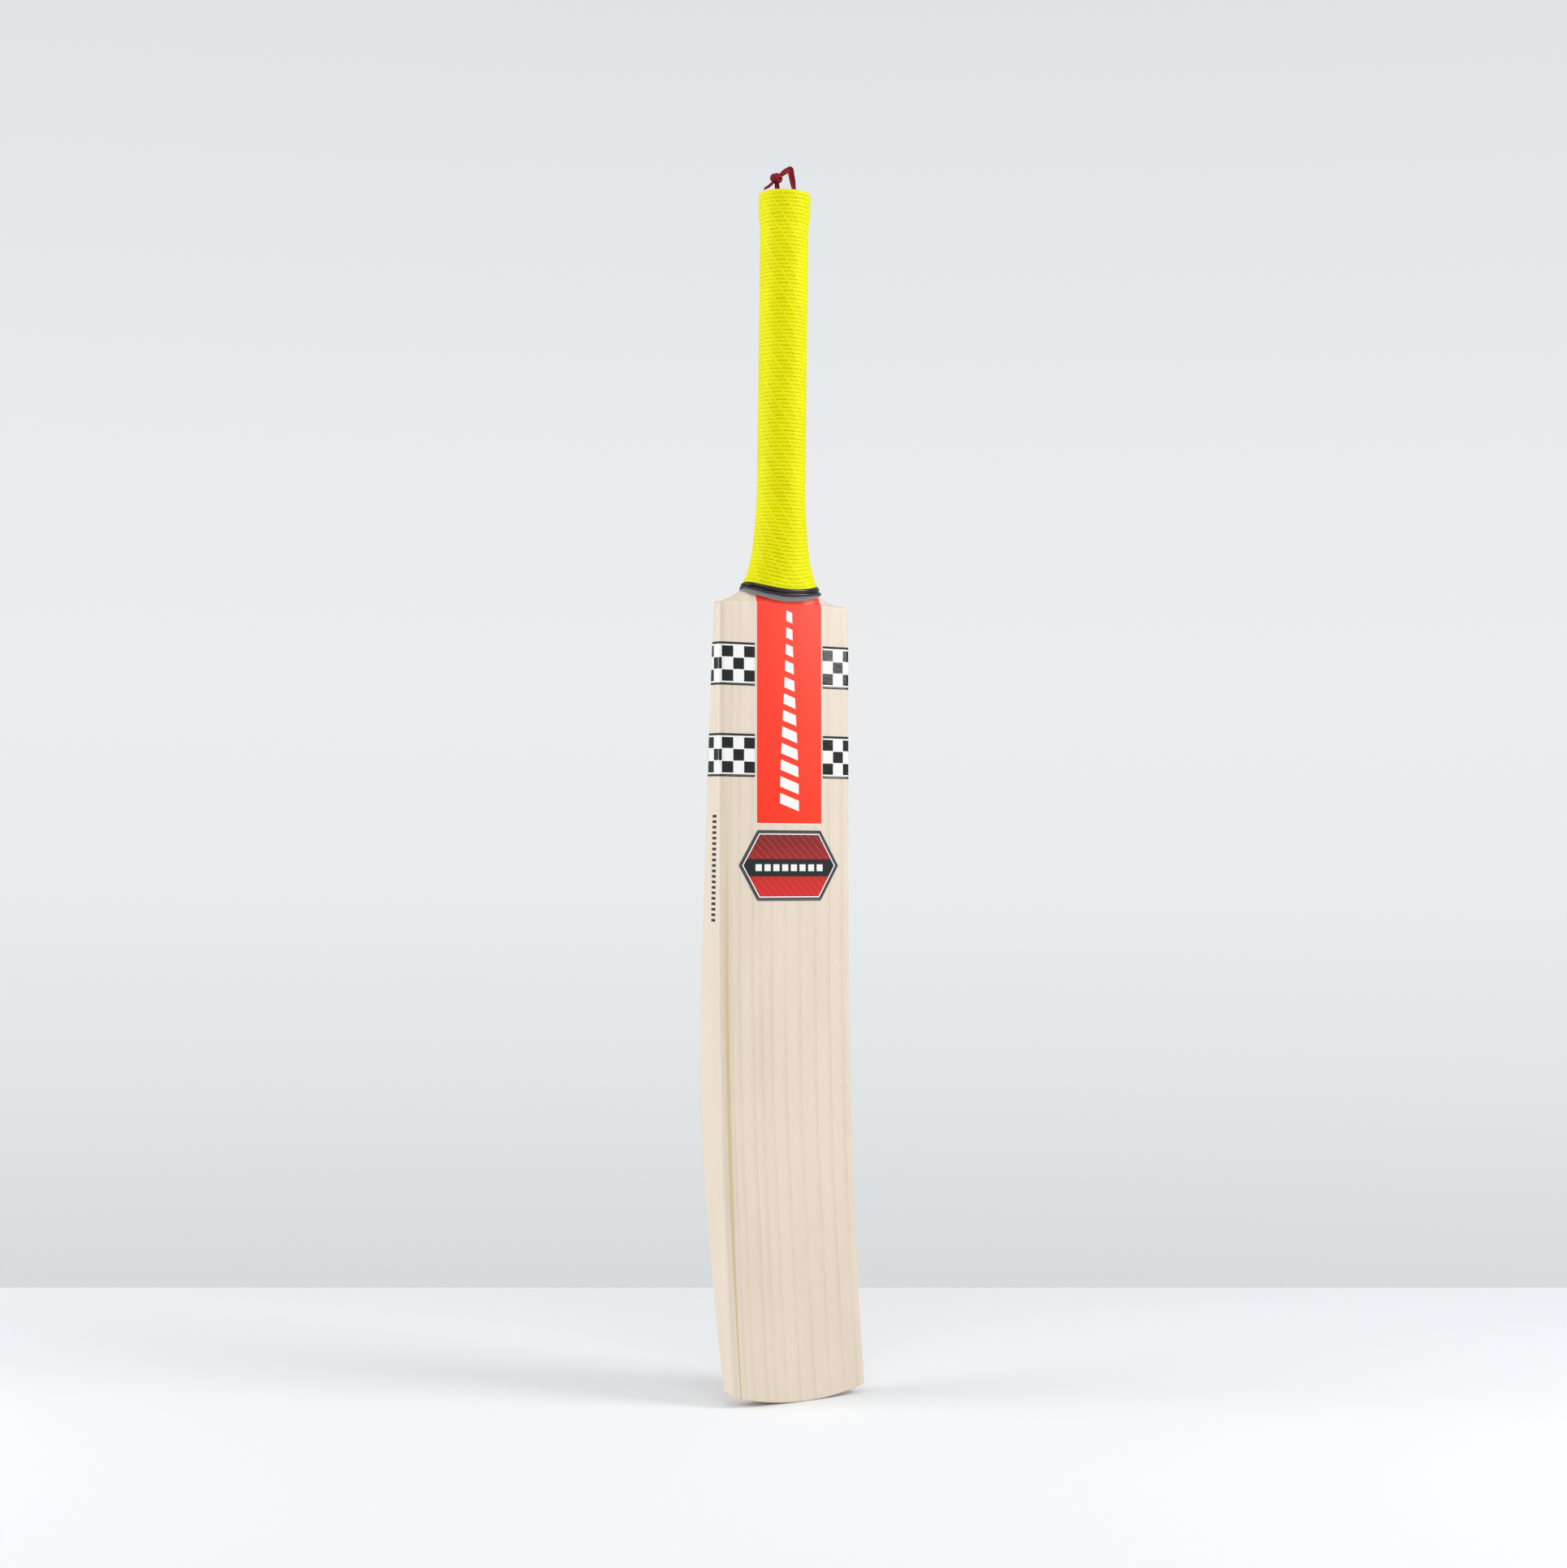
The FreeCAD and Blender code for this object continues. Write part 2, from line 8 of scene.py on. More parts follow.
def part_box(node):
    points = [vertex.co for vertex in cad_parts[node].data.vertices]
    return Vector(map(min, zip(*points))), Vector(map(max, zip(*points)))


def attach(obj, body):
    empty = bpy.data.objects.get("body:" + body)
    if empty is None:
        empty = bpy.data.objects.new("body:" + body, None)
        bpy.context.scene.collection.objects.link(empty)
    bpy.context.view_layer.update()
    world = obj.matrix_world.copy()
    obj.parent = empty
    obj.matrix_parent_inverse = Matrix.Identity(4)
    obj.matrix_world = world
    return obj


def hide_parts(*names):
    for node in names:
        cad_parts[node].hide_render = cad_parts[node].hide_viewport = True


# A cricket bat standing on its toe. Shapes are worked out in millimetres in the CAD model's frame and made in
# metres: the face looks along -Y, the handle rises along +Z, and X runs from edge to edge.

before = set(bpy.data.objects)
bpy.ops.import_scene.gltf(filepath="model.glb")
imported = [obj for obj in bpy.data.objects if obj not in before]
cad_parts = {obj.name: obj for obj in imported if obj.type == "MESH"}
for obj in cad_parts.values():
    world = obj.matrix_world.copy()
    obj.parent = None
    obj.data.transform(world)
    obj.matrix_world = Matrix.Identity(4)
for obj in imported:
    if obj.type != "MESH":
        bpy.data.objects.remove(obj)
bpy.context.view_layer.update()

MM = 0.001


def box_mm(node):
    """A CAD node's lowest and highest corners, in millimetres."""
    low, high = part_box(node)
    return np.array(low) / MM, np.array(high) / MM


# ---------------------------------------------------------------- sizes

# blade
HALF = float(box_mm("blade")[1][0])
SHOULDER = float(box_mm("face_label")[1][2])
AXIS_Y = float(sum(box_mm("cane_slip_middle_2")[side][1] for side in (0, 1)) / 2)
FACE_OFFSET = 10.3
BLADE_LEAN = 0.0259
TOE_BOW = 21.2
BOW_START = 329.0
CROWN = 1.2
FACE_CORNER = 4.2
BACK_CORNER = 8.0
BACK_CORNER_TURN = math.radians(60)
FLANK_RADIUS = 150.0
SPINE_RADIUS = 15.0
SPINE_TURN = math.radians(35)
TOE_RADIUS = 200.0
TOE_CORNER = 2.5
TOE_CORNER_RISE = 1.9
SHOULDER_CORNER = 1.8
EDGE_ROUND = 1.3
STATIONS = np.array([-8.0, 40, 90, 150, 212, 280, 360, 450, 530, 588])
# peak, height of the peak, at the toe, at the shoulder, power towards the shoulder
EDGE_DEPTHS = (30.5, 212.0, 12.5, 8.2, 1.2)
SPINE_DEPTHS = (62.0, 235.0, 27.0, 27.0, 1.3)
TOE_POWER = 1.6

# handle
CANE = 14.0
CANE_END = float(box_mm("cane_slip_middle_2")[1][2])
FLARE_ROOT = 550.0
FLARE_END = 640.0
FLARE_AREA = 400.0
FLARE_FRONT = 0.06
FLARE_BACK = 0.05
FRONT_DIP = 5.4
DIP_FADE = 5.0
TWINE = 1.0
GRIP_SKIN = 2.4
GRIP_END = float(box_mm("grip")[1][2])
COLLAR_RADIUS = 18.6
COLLAR_Z = 841.0
COLLAR_SLOPE = 12.0
RIM = 1.6
BINDING_FOOT = float(box_mm("twine_binding")[0][2])
RING_FOOT = float(box_mm("grip_ring")[0][2])
GRIP_FOOT = float(box_mm("grip")[0][2])
FOOT_ARCH = 82.0

# films
FILM = 0.25
LABEL_LOW, LABEL_HIGH = box_mm("face_label")
BACK_LABEL_HIGH = box_mm("back_label")[1]
BADGE_LOW, BADGE_HIGH = box_mm("badge_label")
BADGE_POINT = 15.0
DECAL_LOW, DECAL_HIGH = box_mm("edge_decal")
BAND_LOW, BAND_HIGH = box_mm("upper_band_left")
SQUARE_PITCH = 8.6

# ribbon: control points like those of the CAD model's tubes. The loop's top is a little lower here, and the
# crease lifts it.
LOOP_ROUTE = (
    (11.6, 6.8, 851.0),
    (11.4, 6.6, 857.0),
    (8.8, 5.2, 863.2),
    (7.4, 4.8, 869.0),
    (5.2, 4.2, 873.6),
    (0.8, 3.6, 871.9),
    (-2.4, 3.4, 868.8),
    (-6.2, 3.8, 865.4),
    (-4.8, 4.2, 858.0),
    (-4.6, 4.4, 851.0),
)
TAIL_ROUTE = (
    (-7.4, 4.0, 864.8),
    (-10.6, 3.8, 860.0),
    (-16.4, 3.4, 857.3),
)
KNOT_LOW, KNOT_HIGH = box_mm("ribbon_knot")


# ---------------------------------------------------------------- camera


def look_axes(yaw, pitch, roll):
    """The right, up and forward axes of a camera turned from looking along +Y."""
    forward = Vector((math.sin(yaw) * math.cos(pitch), math.cos(yaw) * math.cos(pitch), math.sin(pitch)))
    level = Vector((math.cos(yaw), -math.sin(yaw), 0))
    upright = level.cross(forward)
    right = level * math.cos(roll) + upright * math.sin(roll)
    up = upright * math.cos(roll) - level * math.sin(roll)
    return right, up, forward


CAMERA_PLACE = Vector((-0.9529, -1.6237, 0.4060))
RIGHT, UP, FORWARD = look_axes(math.radians(30.505), math.radians(0.784), math.radians(0.699))
LENS = 60.47
SENSOR = 36.0


def add_camera():
    data = bpy.data.cameras.new("camera")
    data.lens = LENS
    data.sensor_width = SENSOR
    camera = bpy.data.objects.new("camera", data)
    turn = Matrix((RIGHT, UP, -FORWARD)).transposed()
    camera.matrix_world = Matrix.Translation(CAMERA_PLACE) @ turn.to_4x4()
    bpy.context.collection.objects.link(camera)
    bpy.context.scene.camera = camera


# ---------------------------------------------------------------- meshes


def smooth_step(t):
    t = np.clip(t, 0, 1)
    return t * t * (3 - 2 * t)


def unit(vectors):
    return vectors / np.linalg.norm(vectors, axis=-1, keepdims=True)


def distances_along(line, stretch=1):
    """Distance from the start of a line to each of its points."""
    return np.concatenate([[0], np.cumsum(np.linalg.norm(np.diff(line, axis=0) * stretch, axis=1))])


def evenly_spaced(line, count, stretch=1):
    reach = distances_along(line, stretch)
    places = np.linspace(0, reach[-1], count)
    return np.stack([np.interp(places, reach, side) for side in line.T], axis=1)


def smooth_line(line, passes):
    """Draws the inner points of a line towards their neighbours."""
    for _ in range(passes):
        line[1:-1] = line[1:-1] * 0.5 + (line[:-2] + line[2:]) * 0.25


def between(count):
    """Evenly spaced shares between 0 and 1, without the ends."""
    return np.linspace(0, 1, count + 2)[1:-1]


def grid_faces(rows, columns, wrap=False, closed=False, start=0):
    """Quads of a grid whose vertices are numbered row by row.

    wrap joins the ends of each row, and closed joins the last row to the first.
    """
    row = np.arange(rows if closed else rows - 1)[:, None] * columns
    column = np.arange(columns if wrap else columns - 1)[None, :]
    above = (row + columns) % (rows * columns)
    after = (column + 1) % columns
    quads = np.stack([row + column, row + after, above + after, above + column], axis=-1)
    return quads.reshape(-1, 4) + start


def mesh_object(name, points, faces, material, uv=None):
    """A smooth mesh object from points in millimetres. faces is a list of arrays of quads or triangles."""
    mesh = bpy.data.meshes.new(name)
    mesh.vertices.add(len(points))
    mesh.vertices.foreach_set("co", (np.asarray(points, dtype=float) * MM).ravel())
    corners = np.concatenate([np.asarray(part).ravel() for part in faces])
    counts = np.concatenate([np.full(len(part), np.asarray(part).shape[1]) for part in faces])
    mesh.loops.add(len(corners))
    mesh.loops.foreach_set("vertex_index", corners.astype(np.int32))
    mesh.polygons.add(len(counts))
    mesh.polygons.foreach_set("loop_start", (np.cumsum(counts) - counts).astype(np.int32))
    mesh.polygons.foreach_set("use_smooth", np.ones(len(counts), dtype=bool))
    mesh.update(calc_edges=True)
    mesh.validate()
    if uv is not None:
        layer = mesh.uv_layers.new(name="flat")
        layer.data.foreach_set("uv", np.asarray(uv, dtype=float)[corners].ravel())
    thing = bpy.data.objects.new(name, mesh)
    thing.data.materials.append(material)
    bpy.context.collection.objects.link(thing)
    return thing


def tube_mesh(name, grids, material, closed=False):
    """One mesh of several tubes. Each is a grid of rings that closes on itself or has capped ends."""
    points, quads = [], []
    start = 0
    for grid in grids:
        rows, columns = grid.shape[:2]
        points.append(grid.reshape(-1, 3))
        quads.append(grid_faces(rows, columns, True, closed, start))
        if not closed:
            ring = np.arange(columns // 2 - 1)
            lid = np.stack([ring, ring + 1, columns - 2 - ring, columns - 1 - ring], axis=1) + start
            quads += [lid[:, ::-1], lid + (rows - 1) * columns]
        start += rows * columns
    return mesh_object(name, np.concatenate(points), quads, material)


def finish_piece(thing, slot, *nodes):
    """The piece rides on the bat's one body and stands for its CAD nodes. slot is not used."""
    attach(thing, "root")
    if nodes:
        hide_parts(*nodes)
    return thing


def shell(name, outer, inner, material, uv=None, wrap=False):
    """A closed thin shell between two grids of the same size: (rows, columns, 3)."""
    rows, columns = outer.shape[:2]
    count = rows * columns
    points = np.concatenate([outer.reshape(-1, 3), inner.reshape(-1, 3)])
    front = grid_faces(rows, columns, wrap)
    back = front[:, ::-1] + count
    rims = []
    numbers = np.arange(count).reshape(rows, columns)
    lines = [numbers[0, ::-1], numbers[-1]]
    if not wrap:
        lines += [numbers[:, 0], numbers[::-1, -1]]
    for line in lines:
        if wrap:
            line = np.append(line, line[0])
        a, b = line[:-1], line[1:]
        rims.append(np.stack([a, b, b + count, a + count], axis=1)[:, ::-1])
    if uv is not None:
        uv = np.concatenate([uv.reshape(-1, 2)] * 2)
    return mesh_object(name, points, [front, back, *rims], material, uv)


# ---------------------------------------------------------------- the blade's surface


def face_middle(z):
    bow = TOE_BOW * np.maximum(0, 1 - z / BOW_START) ** 2
    return AXIS_Y - FACE_OFFSET - BLADE_LEAN * (SHOULDER - z) - bow


def swell(z, depths):
    """A depth that rises from the toe to its peak and falls again to the shoulder."""
    peak, height, toe, shoulder, power = depths
    low = peak - (peak - toe) * np.abs((z - height) / height) ** TOE_POWER
    high = peak - (peak - shoulder) * np.abs((z - height) / (SHOULDER - height)) ** power
    return np.where(z < height, low, high)


def through_stations(z, values):
    """A smooth curve through the values at the stations."""
    slopes = np.gradient(values, STATIONS)
    index = np.clip(np.searchsorted(STATIONS, z) - 1, 0, len(STATIONS) - 2)
    span = STATIONS[index + 1] - STATIONS[index]
    t = (z - STATIONS[index]) / span
    return (
        (2 * t**3 - 3 * t**2 + 1) * values[index]
        + (t**3 - 2 * t**2 + t) * span * slopes[index]
        + (3 * t**2 - 2 * t**3) * values[index + 1]
        + (t**3 - t**2) * span * slopes[index + 1]
    )


def edge_depth(z):
    return through_stations(z, swell(STATIONS, EDGE_DEPTHS))


def spine_depth(z):
    return through_stations(z, swell(STATIONS, SPINE_DEPTHS))


def front_y(x, z):
    """Y of the crowned face and its rounded corners."""
    flat = HALF - FACE_CORNER
    across = np.abs(x)
    crowned = CROWN * np.minimum(across / flat, 1) ** 2
    corner = FACE_CORNER - np.sqrt(np.maximum(FACE_CORNER**2 - np.maximum(across - flat, 0) ** 2, 0))
    return face_middle(z) + crowned + corner


def back_y(x, z):
    """Y of the back: rounded edge, hollow flank and rounded spine."""
    across = np.abs(x)
    edge = face_middle(z) + edge_depth(z)
    spine = face_middle(z) + spine_depth(z)
    inner = HALF - BACK_CORNER * (1 - math.cos(BACK_CORNER_TURN))
    centre = HALF - BACK_CORNER
    corner = edge + np.sqrt(np.maximum(BACK_CORNER**2 - np.maximum(across - centre, 0) ** 2, 0))
    top = SPINE_RADIUS * math.sin(SPINE_TURN)
    ridge = spine - SPINE_RADIUS + np.sqrt(np.maximum(SPINE_RADIUS**2 - across**2, 0))
    low_y = edge + BACK_CORNER * math.sin(BACK_CORNER_TURN)
    high_y = spine - SPINE_RADIUS * (1 - math.cos(SPINE_TURN))
    run, rise = inner - top, high_y - low_y
    half_chord = np.hypot(run, rise) / 2
    offset = np.sqrt(FLANK_RADIUS**2 - half_chord**2) / (2 * half_chord)
    centre_x = (inner + top) / 2 + rise * offset
    centre_y = (low_y + high_y) / 2 + run * offset
    flank = centre_y - np.sqrt(FLANK_RADIUS**2 - (across - centre_x) ** 2)
    return np.where(across > inner, corner, np.where(across < top, ridge, flank))


def toe_z(x):
    """Height of the toe's lower edge, with its rounded corners."""
    across = np.abs(x)
    start = HALF - TOE_CORNER
    arc = TOE_RADIUS - np.sqrt(TOE_RADIUS**2 - np.minimum(across, start) ** 2)
    low = TOE_RADIUS - math.sqrt(TOE_RADIUS**2 - start**2)
    chord = math.hypot(TOE_CORNER, TOE_CORNER_RISE)
    reach = math.sqrt(TOE_CORNER**2 - (chord / 2) ** 2)
    centre_x = start + TOE_CORNER / 2 - reach * TOE_CORNER_RISE / chord
    centre_z = low + TOE_CORNER_RISE / 2 + reach * TOE_CORNER / chord
    corner = centre_z - np.sqrt(np.maximum(TOE_CORNER**2 - (across - centre_x) ** 2, 0))
    return np.where(across > start, corner, arc)


def shoulder_z(x):
    beyond = np.maximum(np.abs(x) - (HALF - SHOULDER_CORNER), 0)
    return SHOULDER - SHOULDER_CORNER + np.sqrt(np.maximum(SHOULDER_CORNER**2 - beyond**2, 0))


CORNER_ZONE = 6.0
CORNER_NODES = 16
FACE_NODES = 60
SIDE_NODES = 12


def across_nodes():
    """X places of the blade's columns, close together at both edges."""
    middle = np.linspace(CORNER_ZONE - HALF, HALF - CORNER_ZONE, FACE_NODES)
    steps = np.sin(np.linspace(0, math.pi / 2, CORNER_NODES + 1))[1:]
    ends = HALF - CORNER_ZONE + CORNER_ZONE * steps
    return np.concatenate([-ends[::-1], middle, ends])


def section_ring(nodes, heights):
    """Rings round the blade, anticlockwise from the left of the face. heights gives z for an x."""
    sides = between(SIDE_NODES)[:, None]
    z = heights(nodes)
    front, back = (np.stack([nodes, surface(nodes, z), z], axis=1) for surface in (front_y, back_y))
    right = front[-1] + (back[-1] - front[-1]) * sides
    left = back[0] + (front[0] - back[0]) * sides
    return np.concatenate([front, right, back[::-1], left])


def outward_normals(ring):
    """Normals in the XY plane of a closed anticlockwise ring."""
    along = np.roll(ring, -1, axis=0) - np.roll(ring, 1, axis=0)
    return unit(np.stack([along[:, 1], -along[:, 0]], axis=1))


def rounding(gap, radius):
    """How far a surface draws in at a distance from a rounded end."""
    inside = np.clip(radius - gap, 0, radius)
    return radius - np.sqrt(radius**2 - inside**2)


def neck_half(z):
    return CANE + FLARE_AREA * (1 / (np.minimum(z, FLARE_END) - FLARE_ROOT) - 1 / (FLARE_END - FLARE_ROOT))


def neck_ring(angles, z, lift=0.0, fade=DIP_FADE):
    """Points on the handle's skin at the given angles and heights."""
    half = neck_half(z)
    dip = FRONT_DIP * np.exp((SHOULDER - z) / fade)
    fore = CANE + FLARE_FRONT * (half - CANE) - dip + lift
    aft = CANE + FLARE_BACK * (half - CANE) + lift
    depth = (fore + aft) / 2
    middle = AXIS_Y + (aft - fore) / 2
    flat = np.stack([(half + lift) * np.cos(angles), middle + depth * np.sin(angles)], axis=-1)
    return np.concatenate([flat, np.broadcast_to(z, angles.shape)[..., None]], axis=-1)


def blade_rows():
    """Shares of the height from toe to shoulder, close together at both ends."""
    length = SHOULDER
    ends = np.array([0, 0.06, 0.2, 0.42, 0.7, 1.0]) * EDGE_ROUND / length
    near = np.array([2.2, 3.6, 5.4, 7.6]) / length
    middle = np.linspace(10 / length, 1 - 10 / length, 170)
    return np.concatenate([ends, near, middle, 1 - near[::-1], 1 - ends[::-1]])


NECK_ANGLE = math.radians(10)
NECK_HEIGHTS = (561.0, 561.9, 563.0, 564.5, 566.5, 569.0, 572.0, 576.0, 580.0)
BLEND_RINGS = 4
# the shoulder's edge is not rounded where the wood runs on up into the neck
UNROUNDED = 33.0
UNROUNDED_FADE = 10.0
# the wood stays level with the face until the binding covers it
WOOD_FADE = 3 * DIP_FADE
SMOOTH_PASSES = 14


def blade_grid(nodes):
    """The blade's side surface as rings, from the toe over the shoulder into the neck."""
    low = toe_z(nodes)
    high = shoulder_z(nodes)
    rings = []
    for share in blade_rows():

        def height(x):
            return np.interp(x, nodes, low + (high - low) * share)

        ring = section_ring(nodes, height)
        ends = np.interp(ring[:, 0], nodes, low), np.interp(ring[:, 0], nodes, high)
        beside = smooth_step((np.abs(ring[:, 0]) - UNROUNDED) / UNROUNDED_FADE)
        draw = rounding(ring[:, 2] - ends[0], EDGE_ROUND)
        draw += rounding(ends[1] - ring[:, 2], EDGE_ROUND) * beside
        ring[:, :2] -= outward_normals(ring) * draw[:, None]
        rings.append(ring)
    turn = np.arccos(nodes / HALF * math.cos(NECK_ANGLE))
    sides = np.linspace(-1, 1, SIDE_NODES + 2)[1:-1] * NECK_ANGLE
    angles = np.concatenate([-turn, sides, turn[::-1], math.pi + sides])
    shoulder = rings[-1]
    neck = [neck_ring(angles, z, fade=WOOD_FADE) for z in NECK_HEIGHTS]
    rings += [shoulder * (1 - share) + neck[0] * share for share in between(BLEND_RINGS)]
    grid = np.array(rings + neck)
    start = len(blade_rows()) - 4
    stop = start + BLEND_RINGS + 9
    for _ in range(SMOOTH_PASSES):
        inner = grid[start:stop]
        along = (grid[start - 1 : stop - 1] + grid[start + 1 : stop + 1]) / 2
        round_it = (np.roll(inner, 1, axis=1) + np.roll(inner, -1, axis=1)) / 2
        grid[start:stop] = inner * 0.5 + along * 0.35 + round_it * 0.15
    return grid


def make_blade(material):
    """The willow. Returns the piece and the face side of its surface, row by row, for the label to follow."""
    nodes = across_nodes()
    grid = blade_grid(nodes)
    rows, columns = grid.shape[:2]
    points = [grid.reshape(-1, 3)]
    faces = [grid_faces(rows, columns, wrap=True)]
    count = rows * columns
    # the toe's end: lines from the face to the back at every column
    width = len(nodes)
    shares = between(SIDE_NODES)[:, None]
    front = np.arange(width)
    back = np.arange(width)[::-1] + width + SIDE_NODES
    right = np.arange(SIDE_NODES) + width
    left = (np.arange(SIDE_NODES) + 2 * width + SIDE_NODES)[::-1]
    inner = grid[0][front][1:-1, None] * (1 - shares) + grid[0][back][1:-1, None] * shares
    numbers = np.zeros((width, SIDE_NODES + 2), dtype=int)
    numbers[:, 0], numbers[:, -1] = front, back
    numbers[0, 1:-1], numbers[-1, 1:-1] = left, right
    numbers[1:-1, 1:-1] = count + np.arange((width - 2) * SIDE_NODES).reshape(width - 2, SIDE_NODES)
    points.append(inner.reshape(-1, 3))
    cap = np.stack([numbers[:-1, :-1], numbers[:-1, 1:], numbers[1:, 1:], numbers[1:, :-1]], axis=-1)
    faces.append(cap.reshape(-1, 4))
    # the hidden end inside the binding
    top = np.arange(columns) + (rows - 1) * columns
    centre = count + len(points[1])
    points.append(grid[-1].mean(axis=0)[None])
    faces.append(np.stack([top, np.roll(top, -1), np.full(columns, centre)], axis=1))
    blade = mesh_object("willow_blade", np.concatenate(points), faces, material)
    return finish_piece(blade, "willow", "blade"), grid[:, :width]


class Skin:
    """The right half of the blade's section at one height: a line from mid-face to the spine."""

    def __init__(self, z):
        nodes = across_nodes()
        nodes = nodes[nodes > 0]
        front = np.stack([nodes, front_y(nodes, z)], axis=1)
        back = np.stack([nodes, back_y(nodes, z)], axis=1)[::-1]
        side = np.linspace(front[-1], back[0], SIDE_NODES)[1:-1]
        middle = np.array([[0, face_middle(z)]])
        ridge = np.array([[0, face_middle(z) + spine_depth(z)]])
        self.line = np.concatenate([middle, front, side, back, ridge])
        self.z = z
        self.reach = distances_along(self.line)
        along = unit(np.gradient(self.line, self.reach, axis=0))
        self.normals = np.stack([along[:, 1], -along[:, 0]], axis=1)
        self.edge = len(nodes)

    def at_front(self, x):
        """Distance along the skin to an x on the face."""
        return np.interp(x, self.line[: self.edge + 1, 0], self.reach[: self.edge + 1])

    def at_back(self, x):
        """Distance along the skin to an x on the back."""
        start = self.edge + SIDE_NODES
        return np.interp(-x, -self.line[start:, 0], self.reach[start:])

    def points(self, distance, lift, mirror=1):
        """Points at distances along the skin. A negative distance is on the left."""
        away = np.abs(distance)
        side = np.where(distance < 0, -1, 1) * mirror
        x, y = (
            np.interp(away, self.reach, place) + lift * np.interp(away, self.reach, normal)
            for place, normal in zip(self.line.T, self.normals.T)
        )
        return np.stack([x * side, y, np.full_like(x, self.z)], axis=-1)


SINK = -0.1


def film_shell(name, heights, distances, material, uv_start, mirror=1):
    """A film that follows the blade. distances(skin) gives a row's places along the skin."""
    outer, inner, uv = [], [], []
    for z in heights:
        skin = Skin(z)
        along = distances(skin)
        flat = np.stack([along - uv_start[0], np.full_like(along, z - uv_start[1])], axis=-1)
        outer.append(skin.points(along, FILM, mirror)[::mirror])
        inner.append(skin.points(along, SINK, mirror)[::mirror])
        uv.append(flat[::mirror])
    return shell(name, np.array(outer), np.array(inner), material, np.array(uv))


# ---------------------------------------------------------------- films


LABEL_COVERED = 566.0


def make_labels(face, red_front, red_back):
    """The red labels. The front one runs up over the shoulder's blend until the binding covers it."""
    places = np.linspace(LABEL_LOW[0], LABEL_HIGH[0], 40)
    rows = []
    for row in face:
        height = row[:, 2].mean()
        if LABEL_LOW[2] - 5 < height < LABEL_COVERED:
            rows.append([np.interp(places, row[:, 0], row[:, side]) for side in (1, 2)])
    rows = np.array(rows)
    rows[0, 0] += (rows[1, 0] - rows[0, 0]) * (LABEL_LOW[2] - rows[0, 1]) / (rows[1, 1] - rows[0, 1])
    rows[0, 1] = LABEL_LOW[2]
    surface = np.stack([np.broadcast_to(places, rows[:, 0].shape), rows[:, 0], rows[:, 1]], axis=-1)
    slope = np.gradient(rows[:, 0], axis=0) / np.gradient(rows[:, 1], axis=0)
    normals = unit(np.stack([np.zeros_like(slope), -np.ones_like(slope), slope], axis=-1))
    middle = (LABEL_LOW[0] + LABEL_HIGH[0]) / 2
    uv = np.stack([surface[..., 0] - middle, surface[..., 2] - LABEL_LOW[2]], axis=-1)
    label = shell("face_label", surface + normals * FILM, surface + normals * SINK, red_front, uv)
    finish_piece(label, "red_film", "face_label")

    outer, inner, uv = [], [], []
    for z in np.linspace(LABEL_LOW[2], LABEL_HIGH[2] - 0.3, 90):
        skin = Skin(z)
        end = skin.reach[-1] - skin.at_back(BACK_LABEL_HIGH[0])
        across = np.linspace(-end, end, 50)
        along = skin.reach[-1] - np.abs(across)
        side = np.sign(across)
        for rows, lift in ((outer, FILM), (inner, SINK)):
            row = skin.points(along, lift)
            row[:, 0] *= side
            rows.append(row[::-1])
        uv.append(np.stack([across, np.full_like(across, z - LABEL_LOW[2])], axis=-1)[::-1])
    back = shell("back_label", np.array(outer), np.array(inner), red_back, np.array(uv))
    finish_piece(back, "red_film", "back_label")


def make_bands(checker):
    starts = {"left": float(-BAND_HIGH[0]), "right": float(box_mm("upper_band_right")[0][0])}
    for level in ("upper", "lower"):
        low, high = box_mm(f"{level}_band_left")
        for side, start in starts.items():

            def along(skin):
                return np.linspace(skin.at_front(start), skin.at_back(start), 150)

            band = film_shell(
                f"{level}_band_{side}",
                np.linspace(low[2], high[2], 24),
                along,
                checker,
                (start, low[2]),
                mirror=-1 if side == "left" else 1,
            )
            finish_piece(band, "checker_film", f"{level}_band_{side}")


def make_badge(material):
    """A wide six-sided badge: each column runs between its two slanted ends."""
    middle = (BADGE_LOW + BADGE_HIGH) / 2
    half_width, _, half_height = (BADGE_HIGH - BADGE_LOW) / 2
    columns = np.linspace(-half_width + 0.02, half_width - 0.02, 90)
    reach = np.minimum(half_height, (half_width - np.abs(columns)) * half_height / BADGE_POINT)
    outer, inner, uv = [], [], []
    for share in np.linspace(-1, 1, 50):
        x, z = middle[0] + columns, middle[2] + reach * share
        for rows, lift in ((outer, FILM), (inner, SINK)):
            rows.append(np.stack([x, front_y(x, z) - lift, z], axis=1))
        uv.append(np.stack([columns, reach * share], axis=1))
    badge = shell("badge_label", np.array(outer), np.array(inner), material, np.array(uv))
    finish_piece(badge, "badge_film", "badge_label")


TICKS = 20
DECAL_FILM = 0.06
TICK_SHARE = 0.5
TICK_MARGIN = 2.2


